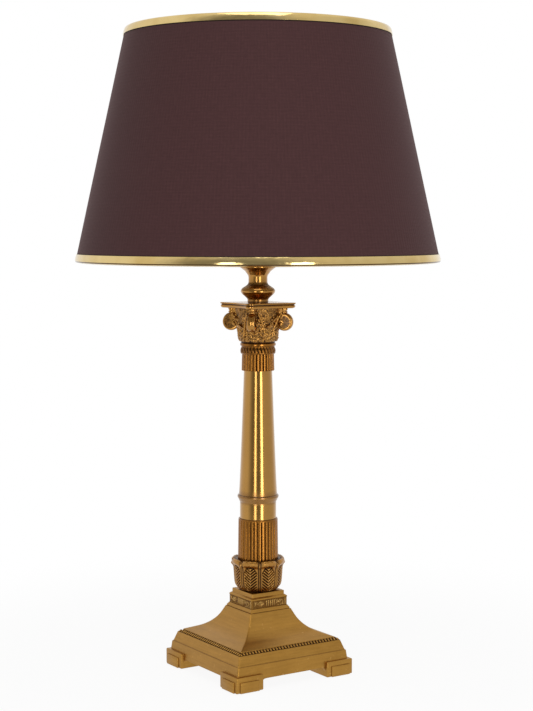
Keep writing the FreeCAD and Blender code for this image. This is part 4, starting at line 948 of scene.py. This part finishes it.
def leaf_relief(across, rise, half_width, lobes):
    """Height, soil and mask of a carved leaf: across from its middle, rise from 0 at its foot to 1."""
    grow = min(max(rise, 0.0), 1.0)
    width = half_width * (0.72 + 0.42 * math.sin(math.pi * grow * 0.92)) * math.sqrt(1 - grow ** 5)
    width = max(width * (1 - 0.20 * abs(math.sin(math.pi * lobes * grow)) ** 0.7), 0.01)
    mask = smoothstep(-0.15, 0.35, width - np.abs(across)) * (0 < rise < 1)
    dome = 0.55 * np.sqrt(np.clip(1 - (across / (width + 0.2)) ** 2, 0, 1))
    veins = np.abs(np.mod(grow * lobes - np.abs(across) / half_width * 1.1, 1.0) - 0.5) * 2
    midrib = hump(across, 0.42)
    curl = smoothstep(0.72, 0.96, grow)
    height = mask * (0.37 + dome + 0.38 * veins + 0.35 * midrib + 2.3 * curl)
    soil = np.where(mask > 0.5, 0.60 * (1 - veins) - 0.35 * midrib - 0.35 * curl, 0.42)
    return height, soil, mask


def bell():
    """The capital's core: a front row of leaves with a taller row between and behind them."""
    columns = BELL_LEAVES * 56
    angles = around(columns)
    grain = grained(BELL_ROWS, columns, 5)
    rows = []
    for i in range(BELL_ROWS):
        t = i / (BELL_ROWS - 1)
        z = BELL_LOW + (BELL_TOP - BELL_LOW) * t
        base = bell_radius(z) - 0.3 - smoothstep(0.10, 0.0, t)
        pitch = base * TURN / BELL_LEAVES
        up = z - BELL_LOW - 0.6
        front, front_soil, mask = leaf_relief(phase(angles, BELL_LEAVES, 0.5) * pitch, up / 16.9, 6.3, 5)
        back, back_soil, _ = leaf_relief(phase(angles, BELL_LEAVES) * pitch, up / 25.0, 6.6, 8)
        height = np.where(mask > 0.3, front + 0.5, back * 0.8) * smoothstep(1.0, 0.92, t)
        height = height + 0.75 * grain[i] * smoothstep(0.0, 0.06, t) * smoothstep(1.0, 0.97, t)
        soil = np.where(mask > 0.3, front_soil, back_soil) - 0.9 * grain[i] + 0.4 * smoothstep(0.05, 0.0, t)
        rows.append((base + height, z, np.clip(soil, -0.3, 1)))
    rows += [(BORE, BELL_TOP, 0.6), (BORE, BELL_LOW, 0.6)]
    return turned("capital_bell", rows, columns)


def volute_band():
    """The coiled band of one corner scroll and its stem, at the +X side."""
    steps = 56
    points = [(-11.0, 1.5), (-8.6, 4.8), (-5.8, 6.8), (-3.0, 7.6)]
    for k in range(steps + 1):
        t = k / steps
        a = QUARTER - 1.2 * TURN * t
        inward = float(smoothstep(0.30, 0.95, t))
        size = (VOLUTE_RADIUS - VOLUTE_BAND / 2) * (1 - inward) + 2.5 * inward
        points.append((size * math.cos(a) + EYE_X * inward, size * math.sin(a) + EYE_Z * inward))
    points = [Vector((x, 0, z)) for x, z in points]
    corner = Vector((VOLUTE_REACH, 0, VOLUTE_Z))
    side = Vector((0, 1, 0))
    path = [(corner + point, side, Vector((-run.z, 0, run.x))) for point, run in zip(points, runs(points))]

    def section(i):
        t = max(0.0, (i - 4) / steps)
        half = VOLUTE_WIDTH / 2 * (1 - 0.10 * t)
        thick = VOLUTE_BAND / 2 * (1 - 0.42 * t)
        crown = 0.75 * (1 - t)
        rise = [
            (1.0, -thick), (1.0, thick * 0.4), (0.86, thick * 0.95), (0.5, thick + crown * 0.7),
            (0.0, thick + crown),
        ]
        return [(-half * a, b) for a, b in rise] + [(half * a, b) for a, b in reversed(rise[:-1])]

    return swept(path, section)


def disc(radius, half, middle_x, middle_z, dome):
    """A round plate in the XZ plane, thick along Y, with softly domed faces."""
    rows = [
        (0.01, -half - dome), (radius * 0.5, -half - dome * 0.8), (radius * 0.85, -half - dome * 0.2),
        (radius, -half),
    ]
    rows += [(r, -y) for r, y in reversed(rows)]
    verts = [(middle_x + r * c, y, middle_z + r * s) for r, y in rows for c, s in circle(28)]
    return verts, capped(len(rows), 28)


def volutes():
    eye = disc(1.9, VOLUTE_WIDTH / 2 + 0.1, VOLUTE_REACH + EYE_X, VOLUTE_Z + EYE_Z, 0.9)
    return make_object("capital_volutes", *spun([volute_band(), eye], CORNER), sharp=math.radians(50))


def corner_plate():
    """The upright web that ties a corner's scroll and stud to the bell, under the abacus."""
    outline = rounded([
        (14.0, VOLUTE_Z - 4.0), (20.0, VOLUTE_Z - 1.0, 2.0), (25.6, VOLUTE_Z + 5.0, 3.0),
        (27.6, VOLUTE_Z + 9.0, 1.5), (28.4, BELL_TOP - 1.2, 0.8), (29.4, BELL_TOP), (14.0, BELL_TOP),
    ], steps=4)
    count = len(outline)
    middle_x = sum(x for x, z in outline) / count
    middle_z = sum(z for x, z in outline) / count
    verts = [
        (middle_x + (x - middle_x) * size, y, min(BELL_TOP, middle_z + (z - middle_z) * size))
        for y, size in ((-2.9, 0.93), (-2.3, 1.0), (2.3, 1.0), (2.9, 0.93))
        for x, z in outline
    ]
    return verts, capped(4, count)


def volute_webs():
    web = disc(VOLUTE_RADIUS - 1.0, 1.9, VOLUTE_REACH, VOLUTE_Z, 0.2)
    plate = corner_plate()
    mottle = np.random.default_rng(17).uniform(0.35, 0.95, len(web[0]))
    soil = [*mottle, *[0.30] * len(plate[0])] * 4
    return make_object("capital_webs", *spun([web, plate], CORNER), soil)


def capital_studs():
    """Turned studs between the scrolls and the abacus."""
    floor = VOLUTE_Z + VOLUTE_RADIUS - 0.6
    outline = rounded([
        (0.01, floor), (2.6, floor), (2.6, floor + 0.9, 0.2), (3.5, floor + 1.3, 0.4), (3.5, floor + 2.2, 0.4),
        (2.7, floor + 2.6, 0.2), (2.7, floor + 3.2, 0.2), (3.4, floor + 3.8, 0.3), (3.4, BELL_TOP),
        (0.01, BELL_TOP),
    ], steps=3)
    verts = [(VOLUTE_REACH + r * c, r * s, z) for r, z in outline for c, s in circle(24)]
    return make_object("capital_studs", *spun([(verts, grid_faces(len(outline), 24, True))], CORNER))


def capital_stems():
    """Raised stems that climb the bell and lean out to the side of each volute."""
    steps = 22
    parts = []
    for hand in (-1, 1):
        points = []
        for k in range(steps + 1):
            t = k / steps
            z = BELL_LOW + 5.0 + 22.5 * t
            radius = float(bell_radius(z)) + 0.7 + 2.4 * t ** 3
            angle = CORNER + hand * math.radians(33 - 20 * t ** 1.5)
            points.append(Vector((radius * math.cos(angle), radius * math.sin(angle), z)))
        path = []
        for point, run in zip(points, runs(points)):
            out = Vector((point.x, point.y, 0)).normalized()
            path.append((point, out.cross(run).normalized(), out))
        parts.append(swept(path, lambda i: [
            ((0.7 + 0.3 * i / steps + 0.22 * (i % 3)) * c, (0.9 + 0.3 * i / steps + 0.18 * (i % 3)) * s)
            for c, s in circle(8)
        ]))
    return make_object("capital_stems", *spun(parts), sharp=math.radians(70))


def abacus_loop(inset):
    """Points round the hollow-sided abacus with its blunt corners, as far inside its edge as inset."""
    corner_x = (36.6 - inset) / math.sqrt(2)
    blunt = 7.0 / 2 / math.sqrt(2)
    sag = 2.6
    far = corner_x + blunt
    half_chord = corner_x - blunt
    radius = (half_chord ** 2 + sag ** 2) / (2 * sag)
    centre = far - sag + radius
    span = math.asin(half_chord / radius)
    side = []
    for k in range(19):
        a = -span + 2 * span * k / 18
        side.append((centre - radius * math.cos(a), radius * math.sin(a), 0))
    for share, bulge in ((0.2, 0.55), (0.5, 0.85), (0.8, 0.55)):
        run, out = (half_chord - far) * share, bulge * 0.7
        side.append((far + run + out, half_chord - run + out, 0))
    return [turn_z(point, turn * QUARTER)[:2] for turn in range(4) for point in side]


def abacus():
    z0, z1 = ends("abacus")
    rows = [
        (2.4, z0), (1.5, z0 + 0.25), (0.75, z0 + 0.9), (0.45, z0 + 1.7), (0.6, z0 + 2.5), (1.1, z0 + 2.9),
        (1.35, z0 + 3.1), (1.35, z0 + 3.7), (0.5, z0 + 3.9), (0.1, z0 + 4.0), (0.0, z1 - 0.5),
        (0.15, z1 - 0.12), (0.6, z1),
    ]
    verts = []
    dirt = []
    for inset, z in rows:
        loop = abacus_loop(inset)
        verts += [(x, y, z) for x, y in loop]
        dirt += [0.5 if z < z0 + 0.2 else 1.0 if z0 + 2.95 < z < z0 + 3.8 else -0.05] * len(loop)
    return make_object("abacus_body", verts, capped(len(rows), len(verts) // len(rows)), dirt)


dress(bell(), CARVED_BRASS, "lamp", "brass_antique", "capital")
dress(volutes(), NECK_BRASS, "lamp", "brass_antique")
dress(volute_webs(), CARVED_BRASS, "lamp", "brass_antique")
dress(capital_studs(), NECK_BRASS, "lamp", "brass_antique")
dress(capital_stems(), CARVED_BRASS, "lamp", "brass_antique")
dress(abacus(), NECK_BRASS, "lamp", "brass_antique", "abacus")


# ---- neck ----

def neck():
    z0, top = ends("neck_spindle")
    knop = z0 + 11.0
    outline = rounded([
        (BORE, z0), (10.2, z0, 0.4), (10.2, z0 + 3.6, 2.5), (15.6, knop - 2.7, 2.2), (16.8, knop - 0.7, 2.6),
        (16.8, knop + 0.9, 2.6), (15.4, knop + 2.8, 2.0), (9.3, knop + 6.8, 4.0), (9.2, knop + 14.8, 5.5),
        (12.6, knop + 19.4, 5.0), (17.4, top - 1.4, 0.6), (17.4, top, 0.5), (14.5, top), (14.5, top - 1.5),
        (BORE, top - 1.5),
    ], steps=8)

    def soil(radius, z):
        return 0.75 if z < z0 + 0.5 else 0.6 * hump(z, 2.2, knop + 6.5) + 0.3 * hump(z, 2, z0 + 4)

    return lathe("neck_spindle_body", outline, soil=soil)


dress(neck(), NECK_BRASS, "lamp", "brass_antique", "neck_spindle")


# ---- lampholder and bulb ----

HOLDER_RADIUS = 19.8
HOLDER_INNER = 18.7
FLANGE_RADIUS = 25.0
GLOBE_RADIUS = 30.0
BULB_NECK = 13.2


def holder_cap():
    z0, top = low("lampholder_cap"), low("lampholder_shell")
    outline = rounded([
        (5.1, z0), (14.2, z0), (14.2, z0 + 3.0, 1.0), (HOLDER_RADIUS, z0 + 9.0, 6.0), (HOLDER_RADIUS, top),
        (HOLDER_INNER, top), (HOLDER_INNER, z0 + 9.5, 5.0), (13.1, z0 + 3.6, 1.0), (13.1, z0 + 1.1),
        (8.2, z0 + 1.1), (8.2, z0 + 6.0), (5.1, z0 + 6.0),
    ])
    return lathe("lampholder_cap_body", outline, HOLDER_COLUMNS)


def holder_shell():
    """The upper shell; the part above its flange carries a fine thread."""
    z0, top = ends("lampholder_shell")
    flange = z0 + 5.0
    thread = flange + 9.0
    pitch = 1.5
    outline = [
        (HOLDER_INNER, z0), (HOLDER_RADIUS, z0), (HOLDER_RADIUS, flange), (FLANGE_RADIUS, flange),
        (FLANGE_RADIUS, flange + 1.5), (HOLDER_RADIUS, flange + 1.5),
    ]
    for k in range(int((top - 2.0 - thread) / pitch)):
        outline += [(HOLDER_RADIUS, thread + k * pitch), (19.35, thread + (k + 0.5) * pitch)]
    outline += [
        (HOLDER_RADIUS, top - 1.0), (19.5, top), (16.5, top), (16.5, top - 1.1), (HOLDER_INNER, top - 1.1)
    ]
    return lathe("lampholder_shell_body", outline, HOLDER_COLUMNS)


def clamp_ring():
    """The ring that holds the shade, with finger grips round its flange."""
    grips = 12
    columns = grips * 12
    lowest, top = ends("clamp_ring")
    grip = 1.1 * hump(phase(around(columns), grips, 0.5), 0.12)
    rows = [(19.85, lowest, 0.0)]
    for radius, up in ((26.0, 0), (26.5, 0.4), (26.5, 1.7), (26.0, 2.2)):
        rows.append((radius - grip, lowest + up, 0.0))
    for radius, z in ((23.0, lowest + 2.2), (23.0, lowest + 6.0), (22.5, lowest + 6.5), (19.85, top)):
        rows.append((radius, z, 0.0))
    return turned("clamp_ring_body", rows, columns)


def bulb_glass():
    """The glass envelope: a narrow neck that swells into a globe."""
    foot = low("bulb_glass") + 1.4
    shoulder = foot + 3
    centre = high("bulb_glass") - GLOBE_RADIUS
    outline = [(0.0, foot), (12.6, foot), (BULB_NECK, foot + 0.6), (BULB_NECK, shoulder)]
    lean = math.radians(-32)
    join_radius = GLOBE_RADIUS * math.cos(lean)
    join_z = centre + GLOBE_RADIUS * math.sin(lean)
    for k in range(1, 9):
        t = k / 9
        swell = 0.35 * t + 0.65 * t * t * (3 - 2 * t)
        outline.append((BULB_NECK + (join_radius - BULB_NECK) * swell, shoulder + (join_z - shoulder) * t))
    for k in range(17):
        a = lean + (QUARTER - lean) * k / 16
        outline.append((GLOBE_RADIUS * math.cos(a), centre + GLOBE_RADIUS * math.sin(a)))
    return lathe("bulb_glass_body", outline, HOLDER_COLUMNS, closed=False)


def bulb_cap():
    """The screw cap, with its rolled thread."""
    z0 = high("bulb_insulator")
    top = z0 + 22.0
    pitch = 3.62
    outline = [(0.0, z0), (12.0, z0), (12.4, z0 + 0.6)]
    for k in range(5):
        for step in range(8):
            t = step / 8
            outline.append((12.75 + 0.45 * math.cos(TURN * t), z0 + 1.0 + (k + t) * pitch))
    outline += [(12.9, top - 1.6), (13.0, top - 0.4), (12.6, top), (0.0, top)]
    return lathe("bulb_cap_body", outline, HOLDER_COLUMNS)


dress(holder_cap(), HOLDER_BRASS, "lamp", "brass_holder", "lampholder_cap")
dress(holder_shell(), HOLDER_BRASS, "lamp", "brass_holder", "lampholder_shell")
dress(clamp_ring(), HOLDER_BRASS, "clamp", "brass_holder", "clamp_ring")
dress(bulb_glass(), OPAL, "bulb", "opal_glass", "bulb_glass")
dress(bulb_cap(), CAP_METAL, "bulb", "bulb_cap_metal", "bulb_cap")

for material, names in (
    (FELT, ("felt_pads",)),
    (BUSH, ("cord_bush",)),
    (STEEL, ("tie_rod", "tie_rod_nut", "tie_rod_washer", "terminal_screws")),
    (CERAMIC, ("lampholder_insert",)),
    (HOLDER_BRASS, ("screw_shell", "centre_contact")),
    (CAP_METAL, ("bulb_contact",)),
    (BLACK_GLASS, ("bulb_insulator",)),
    (WIRE, ("shade_top_wire", "shade_bottom_wire", "shade_carrier")),
):
    for name in names:
        redress(name, material)


# ---- shade ----

FABRIC_THICK = 0.6
GLUE = 0.15
LINER_THICK = 0.5
WIRE_SIZE = 3.2
LINER_OUTER = FABRIC_THICK + GLUE
LINER_INNER = LINER_OUTER + LINER_THICK


def on_wall(along, depth):
    """(radius, z) a distance up the shade's wall and a depth inside its outer face."""
    run = (SHADE_HEAD_RADIUS - SHADE_FOOT_RADIUS) / SHADE_SLANT
    rise = SHADE_HEIGHT / SHADE_SLANT
    return SHADE_FOOT_RADIUS + run * along - rise * depth, SHADE_FOOT_Z + rise * along + run * depth


def fabric():
    """The cloth: an open cone with real thickness, its map laid out in metres of cloth."""
    rows = 26
    shares = [i / (rows - 1) for i in range(rows)]
    angles = around(SHADE_COLUMNS)
    verts = []
    places = []
    for depth, order in ((0.0, shares), (FABRIC_THICK, shares[::-1])):
        for share in order:
            along = SHADE_SLANT * share
            radius, z = on_wall(along, depth)
            drift = 0.10 * np.sin(angles * 5 + along * 0.02) * math.sin(math.pi * share)
            for a, d in zip(angles, drift):
                verts.append(((radius + d) * math.cos(a), (radius + d) * math.sin(a), z))
                places.append((a, along * MM))
    mean_radius = (SHADE_FOOT_RADIUS + SHADE_HEAD_RADIUS) / 2 * MM

    def uv(loop_index, vertex):
        angle, along = places[vertex]
        if vertex % SHADE_COLUMNS == 0 and loop_index % 4 in (1, 2):
            angle += TURN
        return angle * mean_radius, along

    return make_object("shade_cloth_body", verts, grid_faces(2 * rows, SHADE_COLUMNS, True), uv=uv)


def trim(name, edge, up, width):
    """A folded gold band over one edge, slightly rippled."""
    depth = LINER_INNER + GLUE + WIRE_SIZE + GLUE
    fold = edge - up * GLUE
    out = edge - up * (GLUE + 0.5)
    outline = [on_wall(start + up * share, inward) for start, share, inward in (
        (edge, width, -GLUE - 0.48), (edge, width * 0.82, -GLUE - 0.68), (edge, width * 0.60, -GLUE - 0.8),
        (out, 3.1, -GLUE - 0.8), (out, 2.3, -GLUE - 0.71), (out, 1.6, -GLUE - 0.56), (out, 1.0, -GLUE - 0.34),
        (out, 0.5, -GLUE - 0.06), (out, 0.15, 0.2), (out, 0.0, 0.5), (out, 0.0, depth - 0.3),
        (out, 0.4, depth + 0.4), (edge, 4.0, depth + 0.5), (edge, 4.0, depth), (fold, 0.0, depth),
        (fold, 0.0, -GLUE), (edge, width, -GLUE),
    )]
    return lathe(name, outline, SHADE_COLUMNS)


def liner():
    middle = SHADE_SLANT * 0.5
    outline = [on_wall(along, LINER_OUTER) for along in (0, middle, SHADE_SLANT)]
    outline += [on_wall(along, LINER_INNER) for along in (SHADE_SLANT, middle, 0)]
    return lathe("shade_liner_body", outline, SHADE_COLUMNS)


cloth = dress(fabric(), CLOTH, "shade", "shade_fabric", "shade_fabric")
top_trim = dress(
    trim("shade_trim_top_band", SHADE_SLANT, -1, TRIM_TOP_WIDTH), GOLD, "shade", "gold_trim", "shade_trim_top"
)
low_trim = dress(
    trim("shade_trim_low_band", 0.0, 1, TRIM_LOW_WIDTH), GOLD, "shade", "gold_trim", "shade_trim_bottom"
)
dress(liner(), LINER, "shade", "shade_liner", "shade_liner")


# ---- floor, light ----

WORLD_LEVEL = 0.50
# Azimuth from the camera, outer and inner half angles in degrees, and how much darker the middle is.
DARK_PATCHES = ((-12, 62, 12, 0.74), (80, 55, 15, 0.20))
FLOOR_RADIUS = 0.62
FLOOR_WHITE = 0.92
LIGHT_TARGET = (0, 0, 0.3)


def seen_at(azimuth, elevation=0.0):
    """The direction of a place at an azimuth from the camera's side and an elevation, from the lamp."""
    turn = -CAMERA_TURN + math.radians(azimuth)
    rise = math.radians(elevation)
    return Vector((math.sin(turn) * math.cos(rise), -math.cos(turn) * math.cos(rise), math.sin(rise)))


def make_floor():
    """A round white floor that keeps the lamp's shadow and fades into the white surroundings at its rim."""
    mesh = bpy.data.meshes.new("floor")
    mesh.from_pydata([(FLOOR_RADIUS * c, FLOOR_RADIUS * s, 0) for c, s in circle(96)], [], [tuple(range(96))])
    look = new_look("studio_floor")
    mesh.materials.append(look.finish({
        "Base Color": (FLOOR_WHITE,) * 3, "Roughness": 0.9, "Specular IOR Level": 0.0
    }))
    distance = look.add("VectorMath", {0: look.place}, operation="LENGTH").outputs["Value"]
    share = look.soft_range(distance, FLOOR_RADIUS * 0.35, FLOOR_RADIUS * 0.98, FLOOR_WHITE, 1.0)
    blend = look.add("MixShader", {
        "Fac": look.maths("MULTIPLY", look.white_rays(), share),
        1: look.tree.nodes["Principled BSDF"].outputs["BSDF"],
        2: look.add("Emission").outputs["Emission"],
    })
    look.feed(look.tree.nodes["Material Output"], {"Surface": blend.outputs["Shader"]})
    add_object("floor", mesh)


def make_world():
    """White to the camera and through glass. Metal sees white too, with a dark room behind the camera."""
    world = bpy.data.worlds.new("studio")
    bpy.context.scene.world = world
    look = Look(world, "Generated")
    patches = []
    for azimuth, outer, inner, depth in DARK_PATCHES:
        facing = look.add("VectorMath", {0: look.place, 1: seen_at(azimuth)}, operation="DOT_PRODUCT")
        edges = (math.cos(math.radians(outer)), math.cos(math.radians(inner)))
        patches.append(look.soft_range(facing.outputs["Value"], *edges, 0.0, depth))
    dark = look.maths("ADD", *patches, clamp=True)
    dark = look.maths("MULTIPLY", dark, look.add("LightPath").outputs["Is Glossy Ray"])
    level = look.maths("MULTIPLY_ADD", look.white_rays(), 1.0 - WORLD_LEVEL, WORLD_LEVEL)
    strength = look.maths("SUBTRACT", level, dark)
    look.feed(look.tree.nodes["Background"], {"Color": (1, 1, 1), "Strength": strength})


def area_light(name, azimuth, elevation, distance, width, height, radiance):
    """A softbox that faces the lamp."""
    data = bpy.data.lights.new(name, "AREA")
    data.shape = "RECTANGLE"
    data.size = width
    data.size_y = height
    data.energy = radiance * math.pi * width * height
    light = add_object(name, data)
    light.visible_camera = False
    away = seen_at(azimuth, elevation)
    light.location = Vector(LIGHT_TARGET) + away * distance
    light.rotation_euler = away.to_track_quat("Z", "Y").to_euler()


make_floor()
make_world()
area_light("softbox_right", 25, -5, 2.2, 0.46, 1.5, 7.4)
area_light("softbox_left", -17, -4, 2.2, 0.42, 1.6, 4.6)
area_light("top_light", 0, 62, 2.4, 1.6, 1.6, 1.8)

bpy.context.scene.view_settings.view_transform = "Standard"
